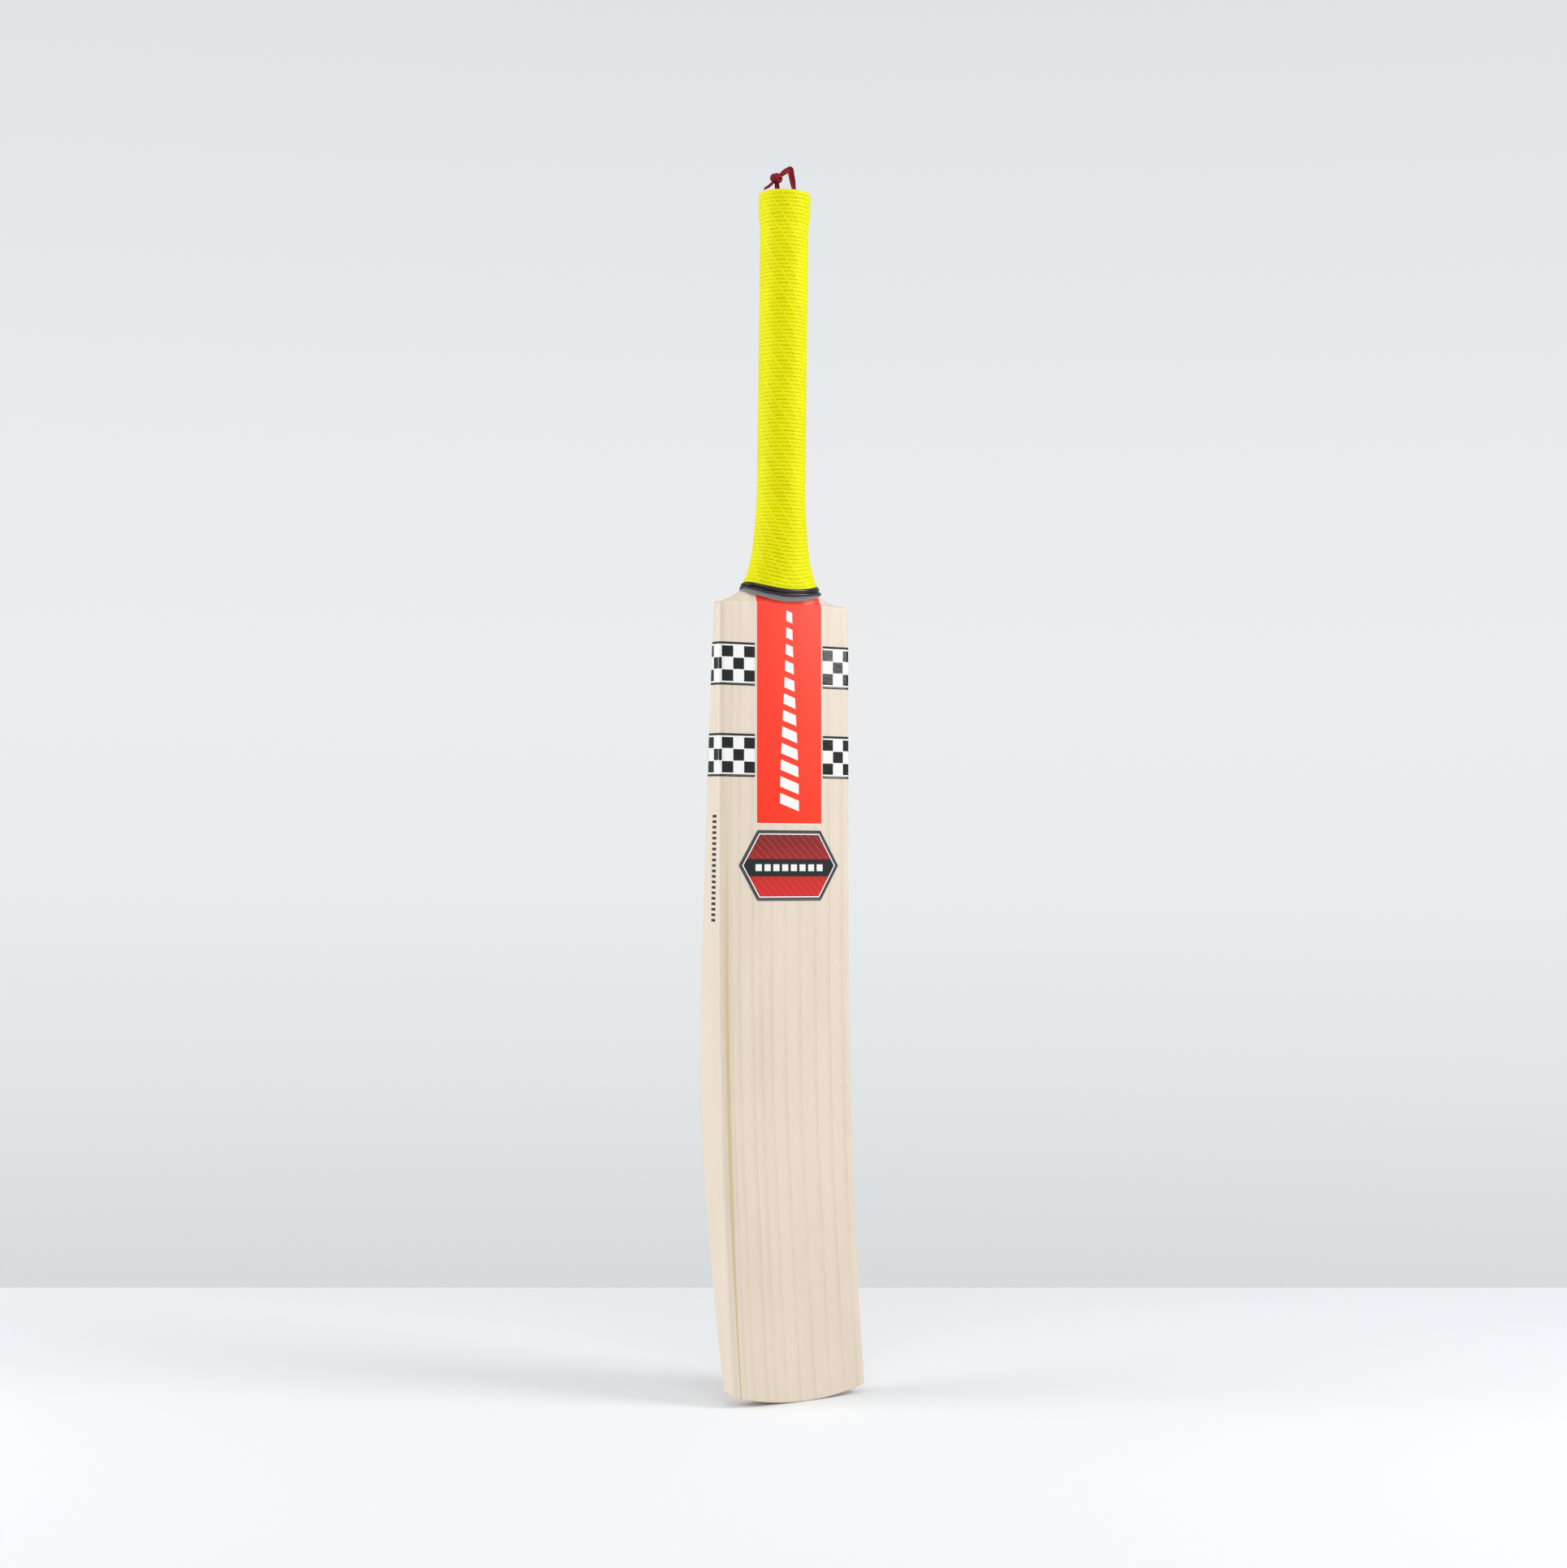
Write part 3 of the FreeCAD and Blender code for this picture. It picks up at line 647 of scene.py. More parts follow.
def make_edge_decal(material):
    """A plain ladder of equal ticks printed up the left edge."""
    low, high = DECAL_LOW[1] + TICK_MARGIN, DECAL_HIGH[1] - TICK_MARGIN
    pitch = (DECAL_HIGH[2] - DECAL_LOW[2]) / TICKS
    points, faces = [], []
    for tick in range(TICKS):
        foot = DECAL_LOW[2] + pitch * tick
        start = len(points)
        for x in (-HALF - DECAL_FILM, -HALF - SINK):
            for y in (low, high):
                points += [(x, y, foot), (x, y, foot + pitch * TICK_SHARE)]
        quads = ((0, 1, 3, 2), (4, 6, 7, 5), (0, 4, 5, 1), (2, 3, 7, 6), (0, 2, 6, 4), (1, 5, 7, 3))
        faces += [[start + corner for corner in quad] for quad in quads]
    decal = mesh_object("edge_decal", points, [np.array(faces)], material)
    decal.data.polygons.foreach_set("use_smooth", np.zeros(len(faces), dtype=bool))
    finish_piece(decal, "decal_film", "edge_decal")


# ---------------------------------------------------------------- handle


def foot_line(angles, foot, lift):
    """Height of an arched foot at each angle round the flared neck."""
    z = foot + 3.0
    for _ in range(40):
        x = neck_ring(angles, z, lift)[:, 0]
        z = z * 0.5 + (foot + FOOT_ARCH - np.sqrt(FOOT_ARCH**2 - np.clip(x, -60, 60) ** 2)) * 0.5
    return z


def turn_angles(count):
    return np.linspace(0, 2 * math.pi, count, endpoint=False)


THREAD = 0.68
THREAD_ROWS = 9
THREAD_LOW, THREAD_BULGE = 0.3, 0.34


def make_twine(material):
    """Thread wound round the handle: it shows as a crescent above the shoulder and as a rim at the top."""
    angles = turn_angles(240)
    foot = foot_line(angles, BINDING_FOOT, TWINE)
    rings = [neck_ring(angles, foot, -0.2)]
    steps = np.linspace(0, THREAD_ROWS, THREAD_ROWS * 7 + 1)
    for step in steps:
        bulge = abs(math.sin(math.pi * step))
        rings.append(neck_ring(angles, foot + step * THREAD, TWINE - THREAD_LOW + THREAD_BULGE * bulge))
    last = foot + steps[-1] * THREAD
    for share in np.linspace(0, 1, 40)[1:]:
        rings.append(neck_ring(angles, last * (1 - share) + CANE_END * share, TWINE - 0.02))
    inner = [neck_ring(angles, ring[:, 2], -0.25) for ring in rings]
    twine = shell("twine_binding", np.array(rings), np.array(inner), material, wrap=True)
    finish_piece(twine, "twine", "twine_binding")


RING_RIDGES = (
    # share of the ring's height, lift off the handle's skin
    (0.0, 1.0),
    (0.0, 1.9),
    (0.05, 2.6),
    (0.14, 3.05),
    (0.24, 3.05),
    (0.33, 2.7),
    (0.38, 2.25),
    (0.42, 2.3),
    (0.47, 2.9),
    (0.56, 3.55),
    (0.68, 3.85),
    (0.80, 3.8),
    (0.91, 3.4),
    (0.98, 2.9),
    (1.0, 2.4),
    (1.0, 1.0),
)


# the ring sits a little lower at the right
RING_DROP = 2.4
# how much a share of the ring's height counts against a millimetre of lift
RING_STRETCH = 5


def make_ring(material):
    """The moulded rubber ring at the grip's foot, with two ridges."""
    angles = turn_angles(240)
    foot = foot_line(angles, RING_FOOT, TWINE) - RING_DROP * np.maximum(np.cos(angles), 0) ** 3
    top = foot_line(angles, GRIP_FOOT, TWINE) + 0.7
    profile = evenly_spaced(np.array(RING_RIDGES), 60, (RING_STRETCH, 1))
    smooth_line(profile, 3)
    heights = [foot + (top - foot) * share for share in profile[:, 0]]
    outer = np.array([neck_ring(angles, height, lift) for height, lift in zip(heights, profile[:, 1])])
    inner = np.array([neck_ring(angles, height, 0.8) for height in heights])
    ring = shell("grip_ring", outer, inner, material, wrap=True)
    finish_piece(ring, "ring_rubber", "grip_ring")


# the grip's moulded relief
ROW_PITCH = 2.77
BARS_ROUND = 13
ROW_SHIFT = 0.2
BAR_SHARE = 0.84
BAR_EDGE = 0.07
GROOVE_LOW, GROOVE_HIGH = 0.3, 0.56
GROOVE_EDGE = 0.12
GROOVE_DEPTHS = 0.9, 0.75
NUB_HEIGHTS = 0.15, 0.06
NUB_HALF, NUB_EDGE = 0.05, 0.06
NUB_LOW, NUB_HIGH, NUB_FADE = 0.3, 0.75, 0.25
# the rows wave a little at the grip's foot
WAVE = 0.3
WAVE_FADE = 26.0
WAVE_TURN = 0.6
RIPPLE = 0.6
RIPPLE_TWIST = 0.12


def soft_box(value, low, high, soft):
    """1 between low and high, falling to 0 over soft at each end."""
    return smooth_step((value - low) / soft + 0.5) * smooth_step((high - value) / soft + 0.5)


def weave(angle, height):
    """Height of the grip's relief: rows of short grooves, each row turned a little from the one below."""
    wave = WAVE * np.exp(-(height - GRIP_FOOT) / WAVE_FADE)
    ripple = RIPPLE * np.sin(7 * angle + height * RIPPLE_TWIST)
    lifted = height + wave * (np.sin(3 * angle + WAVE_TURN) + ripple)
    level = lifted / ROW_PITCH
    row = np.floor(level)
    within = level - row
    place = angle / (2 * math.pi) * BARS_ROUND + ROW_SHIFT * row
    across = place - np.floor(place)
    strong = np.mod(row, 2) < 1
    depth = np.where(strong, *GROOVE_DEPTHS)
    groove = soft_box(within, GROOVE_LOW, GROOVE_HIGH, GROOVE_EDGE)
    bar = soft_box(across, 0.0, BAR_SHARE, BAR_EDGE)
    middle = (1 + BAR_SHARE) / 2
    nub = soft_box(across, middle - NUB_HALF, middle + NUB_HALF, NUB_EDGE)
    nub *= soft_box(within, NUB_LOW, NUB_HIGH, NUB_FADE)
    return np.where(strong, *NUB_HEIGHTS) * nub - depth * (bar * groove)


GRIP_COLUMNS = 340
GRIP_STEP = 0.29
INNER_ROWS = 24
# the relief fades at both ends of the grip, and the foot is drawn in
FADE_FOOT, FADE_TOP, TOP_MARGIN = 1.2, 1.4, 0.6
FOOT_DRAW, FOOT_DRAW_FADE = 0.25, 0.8


def grip_height(level, foot):
    """Rows follow the arched foot at first, and lie level where the handle is round."""
    fade = 1 - smooth_step((level - GRIP_FOOT) / (FLARE_END - GRIP_FOOT))
    return level + (foot - GRIP_FOOT) * fade


def make_grip(material):
    """The rubber sleeve: patterned outside, rolled rim and inner wall, as one closed surface."""
    angles = turn_angles(GRIP_COLUMNS)
    foot = foot_line(angles, GRIP_FOOT, TWINE + GRIP_SKIN)
    skin = TWINE + GRIP_SKIN
    top = GRIP_END - RIM
    rings = []
    for level in np.arange(GRIP_FOOT, top, GRIP_STEP):
        collar = smooth_step((level - COLLAR_Z) / COLLAR_SLOPE + 1) * (COLLAR_RADIUS - CANE - skin)
        above = level - GRIP_FOOT
        ends = smooth_step(above / FADE_FOOT) * smooth_step((top + TOP_MARGIN - level) / FADE_TOP)
        relief = weave(angles, level) * ends - FOOT_DRAW * (1 - smooth_step(above / FOOT_DRAW_FADE))
        ring = neck_ring(angles, grip_height(level, foot), skin + collar)
        ring[:, :2] += outward_normals(ring[:, :2]) * relief[:, None]
        rings.append(ring)
    for turn in np.linspace(0, math.pi / 2, 7):
        lift = COLLAR_RADIUS - CANE - RIM * (1 - math.cos(turn))
        rings.append(neck_ring(angles, top + RIM * math.sin(turn), lift))
    for lift in (2.2, 1.5, TWINE + 0.1):
        rings.append(neck_ring(angles, GRIP_END, lift))
    for level in np.linspace(GRIP_END - 0.3, GRIP_FOOT, INNER_ROWS):
        rings.append(neck_ring(angles, grip_height(level, foot), TWINE))
    grip = tube_mesh("rubber_grip", [np.array(rings)], material, closed=True)
    finish_piece(grip, "grip_rubber", "grip")


CORE_FOOT = 583.0
SLIP_WIDTH = 7.0
LAYER_HALF = 3.7
SPRING = 1.2
SLIP_BEVEL = 0.22
SPRING_BEVEL = 0.05
SPRING_DROP = 0.25
# half of the gap between two slips, and the gap round them all
SLIP_GAP = 0.04
CORE_GAP = 0.02
OUTLINE_STEPS = 720


def cell_outline(low, high, radius):
    """The part of a round section that lies in a rectangle, as a polygon anticlockwise."""
    turns = [2 * math.pi * step / OUTLINE_STEPS for step in range(OUTLINE_STEPS)]
    outline = [np.array([math.cos(turn), math.sin(turn)]) * radius for turn in turns]
    for side, limit, keep in ((0, low[0], 1), (0, high[0], -1), (1, low[1], 1), (1, high[1], -1)):
        kept = []
        for a, b in zip(outline, outline[1:] + outline[:1]):
            in_a, in_b = keep * (a[side] - limit) >= 0, keep * (b[side] - limit) >= 0
            if in_a:
                kept.append(a)
            if in_a != in_b:
                share = (limit - a[side]) / (b[side] - a[side])
                kept.append(a + (b - a) * share)
        outline = kept
    return np.array(outline)


def prism(outline, foot, top, bevel):
    """Vertices and faces of an upright prism with a bevelled top."""
    count = len(outline)
    centre = outline.mean(axis=0)
    inward = centre + (outline - centre) * (1 - bevel / 3.5)
    rings = [(outline, foot), (outline, top - bevel), (inward, top)]
    points = np.concatenate([np.column_stack([ring, np.full(count, z)]) for ring, z in rings])
    points = np.concatenate([points, [[*centre, foot], [*centre, top]]])
    ring = np.arange(count)
    after = np.roll(ring, -1)
    low = np.stack([after, ring, np.full(count, 3 * count)], axis=1)
    high = np.stack([ring + 2 * count, after + 2 * count, np.full(count, 3 * count + 1)], axis=1)
    return points, [grid_faces(3, count, wrap=True), low, high]


def make_core(cane, rubber):
    """Three layers of cane slips with rubber between them. Their ends show inside the grip's rim."""

    def add_strip(name, slot, across, deep, top, bevel, material):
        outline = cell_outline(*zip(across, deep), CANE - CORE_GAP)
        points, faces = prism(outline + (0, AXIS_Y), CORE_FOOT, top, bevel)
        finish_piece(mesh_object(name, points, faces, material), slot, name)

    far = LAYER_HALF + SPRING
    layers = {"front": (-CANE, -far), "middle": (-LAYER_HALF, LAYER_HALF), "back": (far, CANE)}
    edges = (-CANE, -SLIP_WIDTH, 0, SLIP_WIDTH, CANE)
    for layer, deep in layers.items():
        for slip, (low, high) in enumerate(zip(edges, edges[1:]), 1):
            across = (low + SLIP_GAP, high - SLIP_GAP)
            add_strip(f"cane_slip_{layer}_{slip}", "cane", across, deep, CANE_END, SLIP_BEVEL, cane)
    for layer, deep in {"front": (-far, -LAYER_HALF), "back": (LAYER_HALF, far)}.items():
        name, top = f"rubber_spring_{layer}", CANE_END - SPRING_DROP
        add_strip(name, "spring_rubber", (-CANE, CANE), deep, top, SPRING_BEVEL, rubber)


# ---------------------------------------------------------------- ribbon


def curve_line(name, route, count):
    """Points along a smooth curve whose control points are a route's points."""
    curve = bpy.data.curves.new(name, "CURVE")
    curve.dimensions = "3D"
    curve.resolution_u = 24
    spline = curve.splines.new("NURBS")
    spline.points.add(len(route) - 1)
    for point, place in zip(spline.points, route):
        point.co = (*place, 1)
    spline.order_u = 3
    spline.use_endpoint_u = True
    thing = bpy.data.objects.new(name, curve)
    bpy.context.collection.objects.link(thing)
    bpy.context.view_layer.update()
    mesh = bpy.data.meshes.new_from_object(thing)
    line = np.array([vertex.co for vertex in mesh.vertices])
    bpy.data.objects.remove(thing)
    bpy.data.curves.remove(curve)
    bpy.data.meshes.remove(mesh)
    return evenly_spaced(line, count)


RIBBON_THICKNESS = 0.42


def strip_profile(width, count=12):
    """Half of a thin flat section: pairs across the width and through the thickness, all the way round."""
    across = np.linspace(-1, 1, count)
    edge = 1 + 0.35 * np.exp(-(((np.abs(across) - 0.92) / 0.07) ** 2))
    thick = edge * RIBBON_THICKNESS / 2 * np.sqrt(np.clip(1.02 - across**8, 0.02, 1))
    top = np.stack([across * width / 2, thick], axis=1)
    return np.concatenate([top, top[::-1] * (1, -1)])


def strip_points(line, widths, hints, cup):
    """A flat strip along a line. hints are directions that its width takes, spread evenly along it."""

    def along_line(values):
        return np.interp(np.linspace(0, 1, len(line)), np.linspace(0, 1, len(values)), values)

    along = unit(np.gradient(line, axis=0))
    width_way = np.stack([along_line(side) for side in hints.T], axis=1)
    smooth_line(width_way, 12)
    width_way = unit(width_way - along * np.sum(width_way * along, axis=1)[:, None])
    normals = np.cross(along, width_way)
    rings = []
    for place, way, normal, width, bend in zip(line, width_way, normals, along_line(widths), along_line(cup)):
        profile = strip_profile(width)
        arch = bend * (1 - (2 * profile[:, :1] / width) ** 2)
        rings.append(place + profile[:, :1] * way + (profile[:, 1:] + arch) * normal)
    return np.array(rings)


# the loop's top is creased: this far up, at this share of its length
TIP_RISE = 1.2
TIP_SHARE = 0.455
TIP_WIDTH = 0.035
# which way the ribbon's width lies along it: shares of the camera's right, up and forward axes
LOOP_HINTS = (
    (0.6, 0, 0.8),
    (0.6, 0, 0.8),
    (0.8, 0, 0.6),
    (0.95, 0.2, 0),
    (0.7, 0.75, 0),
    (0.1, 1, 0.3),
    (-0.6, 0.7, 0.6),
    (-0.8, 0, 0.5),
    (-0.5, 0, -0.8),
    (-0.5, 0, -0.8),
)
TAIL_HINTS = ((0.3, 0, 1), (0.35, 0, 0.8), (0.3, 0, 1))
LOOP_WIDTHS = (3.6, 3.8, 4.2, 4.4, 3.8, 3.4, 3.8, 4.0)
LOOP_CUP = (0.2, 0.3, 0.5, 0.6, 0.7, 0.4, 0.3)
TAIL_WIDTHS = (3.0, 3.6, 4.0, 3.6)
TAIL_CUP = (0.5, 0.3, 0.2)
# each wrap of the knot: turned about Y, turned about X, size
KNOT_WRAPS = ((0.25, 0.35, 0.86), (-0.75, -0.25, 0.80), (1.25, 0.55, 0.78))
KNOT_SPIN = 0.9
WRAP_HALF_WIDTH, WRAP_HALF_THICK, WRAP_CURL = 0.44, 0.20, 0.8


def make_ribbon(material):
    axes = np.array([tuple(axis) for axis in (RIGHT, UP, FORWARD)])
    loop = curve_line("loop_route", LOOP_ROUTE, 160)
    steps = np.linspace(0, 1, len(loop))
    peak = TIP_RISE * np.exp(-(((steps - TIP_SHARE) / TIP_WIDTH) ** 2))
    folded = loop + peak[:, None] * (axes[1] + axes[0] * 0.6)
    strip = strip_points(folded, LOOP_WIDTHS, LOOP_HINTS @ axes, LOOP_CUP)
    ribbon = tube_mesh("hang_ribbon", [strip], material)
    finish_piece(ribbon, "ribbon", "hang_ribbon")

    centre, half = (KNOT_LOW + KNOT_HIGH) / 2, (KNOT_HIGH - KNOT_LOW) / 2
    turns = turn_angles(48)
    circle = np.stack([np.cos(turns), np.zeros_like(turns), np.sin(turns)], axis=1)
    wraps = []
    for tilt, lean, size in KNOT_WRAPS:
        angles = ((tilt, "Y"), (lean, "X"), (KNOT_SPIN, "Z"))
        about_y, about_x, about_z = (Matrix.Rotation(angle, 3, axis) for angle, axis in angles)
        turn = np.array(about_y @ about_x @ about_z)
        axis = turn @ np.array([0.0, 1, 0])
        rings = []
        for place in circle @ turn.T:
            profile = []
            for step in turn_angles(16):
                flat = math.cos(step) * WRAP_HALF_WIDTH
                thick = math.sin(step) * WRAP_HALF_THICK
                profile.append(place * size * math.cos(flat * WRAP_CURL) + axis * flat + unit(place) * thick)
            rings.append(np.array(profile) * half + centre)
        wraps.append(np.array(rings))
    knot = tube_mesh("ribbon_knot", wraps, material, closed=True)
    finish_piece(knot, "ribbon", "ribbon_knot")

    tail = curve_line("tail_route", TAIL_ROUTE, 50)
    flap = strip_points(tail, TAIL_WIDTHS, TAIL_HINTS @ axes, TAIL_CUP)
    end = tube_mesh("ribbon_tail", [flap], material)
    finish_piece(end, "ribbon", "ribbon_tail")


# ---------------------------------------------------------------- materials


def srgb(red, green, blue):
    """A colour from its display values, 0 to 255."""
    channels = []
    for channel in (red, green, blue):
        share = channel / 255
        channels.append(share / 12.92 if share <= 0.04045 else ((share + 0.055) / 1.055) ** 2.4)
    return (*channels, 1.0)


def node_math(operation, swapped=False):
    """A method that joins two values with a Math node."""

    def join(value, other=0.0):
        first, second = (other, value) if swapped else (value, other)
        return value.finish.math(operation, first, second)

    return join


class Value:
    """A number or colour that a material works out. Arithmetic adds Math nodes, and | takes the larger."""

    def __init__(self, finish, socket):
        self.finish = finish
        self.socket = socket

    __add__, __radd__ = node_math("ADD"), node_math("ADD", swapped=True)
    __sub__, __rsub__ = node_math("SUBTRACT"), node_math("SUBTRACT", swapped=True)
    __mul__, __truediv__ = node_math("MULTIPLY"), node_math("DIVIDE")
    __lt__, __gt__ = node_math("LESS_THAN"), node_math("GREATER_THAN")
    __or__, __abs__ = node_math("MAXIMUM"), node_math("ABSOLUTE")
    floor, fraction = node_math("FLOOR"), node_math("FRACT")
    smaller, modulo = node_math("MINIMUM"), node_math("MODULO")

    def ramp(self, low, high, start=0.0, end=1.0):
        """A smooth rise from start to end as the value goes from low to high."""
        node = self.finish.nodes.new("ShaderNodeMapRange")
        node.interpolation_type = "SMOOTHSTEP"
        return self.finish.fill(node, self, low, high, start, end)

    def ridge(self, centre, width):
        """1 at the centre, falling smoothly to 0 at width on both sides."""
        return abs(self - centre).ramp(0.0, width, 1.0, 0.0)


class Finish:
    """A material, and the nodes that work out its colour and relief."""

    def __init__(self, name, **settings):
        self.material = bpy.data.materials.new(name)
        self.material.use_nodes = True
        self.nodes = self.material.node_tree.nodes
        self.shader = self.nodes["Principled BSDF"]
        for socket, setting in settings.items():
            self.shader.inputs[socket.replace("_", " ")].default_value = setting
        self.place = None

    def put(self, socket, value):
        if isinstance(value, Value):
            self.material.node_tree.links.new(value.socket, socket)
        else:
            socket.default_value = value

    def fill(self, node, *values):
        """Sets or links a node's inputs in turn, and returns its first output."""
        for socket, value in zip(node.inputs, values):
            self.put(socket, value)
        return Value(self, node.outputs[0])

    def math(self, operation, first, second):
        node = self.nodes.new("ShaderNodeMath")
        node.operation = operation
        return self.fill(node, first, second, 0.0)

    def mix(self, share, first, second):
        node = self.nodes.new("ShaderNodeMix")
        node.data_type = "RGBA"
        for index, value in ((0, share), (6, first), (7, second)):
            self.put(node.inputs[index], value)
        return Value(self, node.outputs[2])

    def split(self, vector):
        node = self.nodes.new("ShaderNodeSeparateXYZ")
        self.put(node.inputs[0], Value(self, vector))
        return [Value(self, output) for output in node.outputs]

    def object_place(self):
        """X, Y and Z of the point in millimetres."""
        if self.place is None:
            node = self.nodes.new("ShaderNodeTexCoord")
            self.place = [side * (1 / MM) for side in self.split(node.outputs["Object"])]
        return self.place

    def flat_place(self):
        """The two distances over a film, in millimetres."""
        node = self.nodes.new("ShaderNodeUVMap")
        node.uv_map = "flat"
        return self.split(node.outputs[0])[:2]

    def noise(self, x, y, z, detail=2.0, rough=0.5):
        """Noise over three numbers, around 0.5."""
        vector = self.fill(self.nodes.new("ShaderNodeCombineXYZ"), x, y, z)
        node = self.nodes.new("ShaderNodeTexNoise")
        settings = {"Scale": 1.0, "Detail": detail, "Roughness": rough, "Vector": vector}
        for name, value in settings.items():
            self.put(node.inputs[name], value)
        return Value(self, node.outputs[0])

    def grain(self, x, y, z, detail=2.0, rough=0.5):
        """Noise over the point's place, with a scale per millimetre for each axis."""
        sides = [side * scale for side, scale in zip(self.object_place(), (x, y, z))]
        return self.noise(*sides, detail, rough)

    def bump(self, height, depth):
        """Fine relief: height 0 to 1 stands for depth in millimetres."""
        node = self.nodes.new("ShaderNodeBump")
        node.inputs["Distance"].default_value = depth * MM
        self.put(node.inputs["Height"], height)
        self.put(self.shader.inputs["Normal"], Value(self, node.outputs[0]))

    def colour(self, value):
        self.put(self.shader.inputs["Base Color"], value)
        return self.material


# places of the growth lines across the face, and of two pale nicks in it
GRAIN_LINES = (-44.0, -37.5, -27.3, -20.0, -12.0, -0.8, 11.2, 24.0, 35.7, 47.0)
NICKS = ((41.0, 304.8), (49.6, 218.9))
LINE_DRIFT = 3.0
LINE_WIDTH = 0.55
LINE_SHADE = 5.0
FAINT_LINE = 0.75
# the tan stripe by the left edge is painted shade of the rounded corner, strongest low down
CORNER_SHADE_X = -48.6
CORNER_SHADE_TOP = 410.0
CORNER_SHADE_BEHIND = -2.0
WILLOW = srgb(232, 218, 200)
WILLOW_DARK = srgb(206, 186, 160)
WILLOW_CORNER_SHADE = srgb(205, 180, 128)
WILLOW_NICK = srgb(250, 240, 222)


def willow_finish():
    """Pale willow: straight growth lines, fine fibres, and a tan stripe of painted shade beside the left
    edge.
    """
    finish = Finish("willow", Roughness=0.42, IOR=1.45)
    x, y, z = finish.object_place()
    across = x + (finish.noise(x * 0.01, 3.1, z * 0.007) - 0.5) * LINE_DRIFT
    lines = 0.0
    for index, place in enumerate(GRAIN_LINES):
        offset = across - place
        sharp = offset.ridge(0.0, LINE_WIDTH) * (FAINT_LINE if index % 2 else 1.0)
        fade = offset.ramp(-LINE_SHADE, 0.0, 0.0, 0.5) * (offset < 0.0)
        lines = lines + (sharp | fade)
    strength = finish.noise(x * 0.05, 7.7, z * 0.012).ramp(0.3, 0.65, 0.5, 1.0)
    fibres = finish.grain(1.6, 1.6, 0.035, 4.0, 0.6)
    pores = finish.grain(4.5, 4.5, 0.16)
    cloud = finish.grain(0.035, 0.035, 0.008)
    dark = lines * strength * 0.5
    dark = dark + fibres.ramp(0.46, 0.68) * 0.16 + pores.ramp(0.56, 0.7) * 0.12 + cloud.ramp(0.35, 0.7) * 0.16
    wood = finish.mix(dark.smaller(1.0), WILLOW, WILLOW_DARK)
    # painted shade: a tan stripe along the face's left corner, fading upwards
    width = z.ramp(20.0, 170.0, 0.9, 3.0)
    corner_shade = abs(x - CORNER_SHADE_X).ramp(0.25, width, 1.0, 0.0)
    corner_shade = corner_shade * z.ramp(CORNER_SHADE_TOP - 150, CORNER_SHADE_TOP + 60, 0.8, 0.12) * (y < CORNER_SHADE_BEHIND)
    wood = finish.mix(corner_shade, wood, WILLOW_CORNER_SHADE)
    for nick_x, nick_z in NICKS:
        wood = finish.mix(x.ridge(nick_x, 0.9) * z.ridge(nick_z, 1.3) * 0.9, wood, WILLOW_NICK)
    finish.put(finish.shader.inputs["Roughness"], fibres.ramp(0.3, 0.7, 0.36, 0.46))
    finish.bump(fibres * 0.7 + pores * 0.3, 0.035)
    return finish.colour(wood)


RED = srgb(249, 48, 14)
RED_PAINTED_SHEEN = srgb(250, 56, 22)
WHITE = srgb(244, 243, 240)
BLACK = srgb(22, 22, 24)
LABEL_EDGE = 0.55
MARK_PITCH = 12.0
MARK_SHARE = 0.62
MARK_SLANT = 0.35
MARK_WIDEST, MARK_NARROWEST = 7.8, 2.4
MARK_FOOT, MARK_TOP = 12.0, 152.0


def label_finish(half_width, marked):
    """A glossy red label with a thin white edge, lighter towards the right with painted sheen, and a column
    of slanted white bars if it is marked.
    """
    finish = Finish("red_label" if marked else "red_back_label", Roughness=0.3, IOR=1.4)
    across, up = finish.flat_place()
    border = (abs(across) > half_width - LABEL_EDGE) | (up < LABEL_EDGE)
    # painted sheen: the red grows lighter from left to right
    colour = finish.mix(across.ramp(-half_width, half_width), RED, RED_PAINTED_SHEEN)
    if marked:
        skewed = up + across * MARK_SLANT
        mark = (abs(across) < up.ramp(MARK_FOOT, MARK_TOP, MARK_WIDEST, MARK_NARROWEST)) * (
            (skewed / MARK_PITCH).fraction() < MARK_SHARE
        )
        colour = finish.mix(mark * ((skewed > MARK_FOOT) * (skewed < MARK_TOP)), colour, WHITE)
    return finish.colour(finish.mix(border, colour, WHITE))


PINSTRIPE = 1.6
PINSTRIPE_GAP = 1.1
SQUARE_GAP = 0.56


def checker_finish():
    """White film printed with three rows of squares between two pinstripes."""
    finish = Finish("checker_film", Roughness=0.13, IOR=1.5)
    along, up = finish.flat_place()
    tall = float(BAND_HIGH[2] - BAND_LOW[2])
    foot = PINSTRIPE + PINSTRIPE_GAP
    level = (up - foot) / SQUARE_PITCH
    odd = (level.floor() + (along / SQUARE_PITCH).floor()).modulo(2.0)
    square = (odd < 0.5) * (level.fraction() < 1 - SQUARE_GAP / SQUARE_PITCH)
    stripes = (up < PINSTRIPE) | (up > tall - PINSTRIPE)
    dark = stripes | square * ((up > foot) * (up < tall - foot))
    finish.bump(finish.grain(0.35, 0.35, 0.35, 4.0, 0.6), 0.12)
    return finish.colour(finish.mix(dark, WHITE, BLACK))


BADGE_RIM = 2.3
BADGE_KEYLINE = 3.1
RIB_PITCH, RIB_SHARE = 6.0, 0.12
BADGE_BAR_DROP, BADGE_BAR_HALF = 1.5, 6.2
BLOCK_HALF, BLOCKS_REACH = 2.4, 28.8
BLOCK_PITCH, BLOCK_SHARE, BLOCK_START = 7.2, 0.7, 1.08


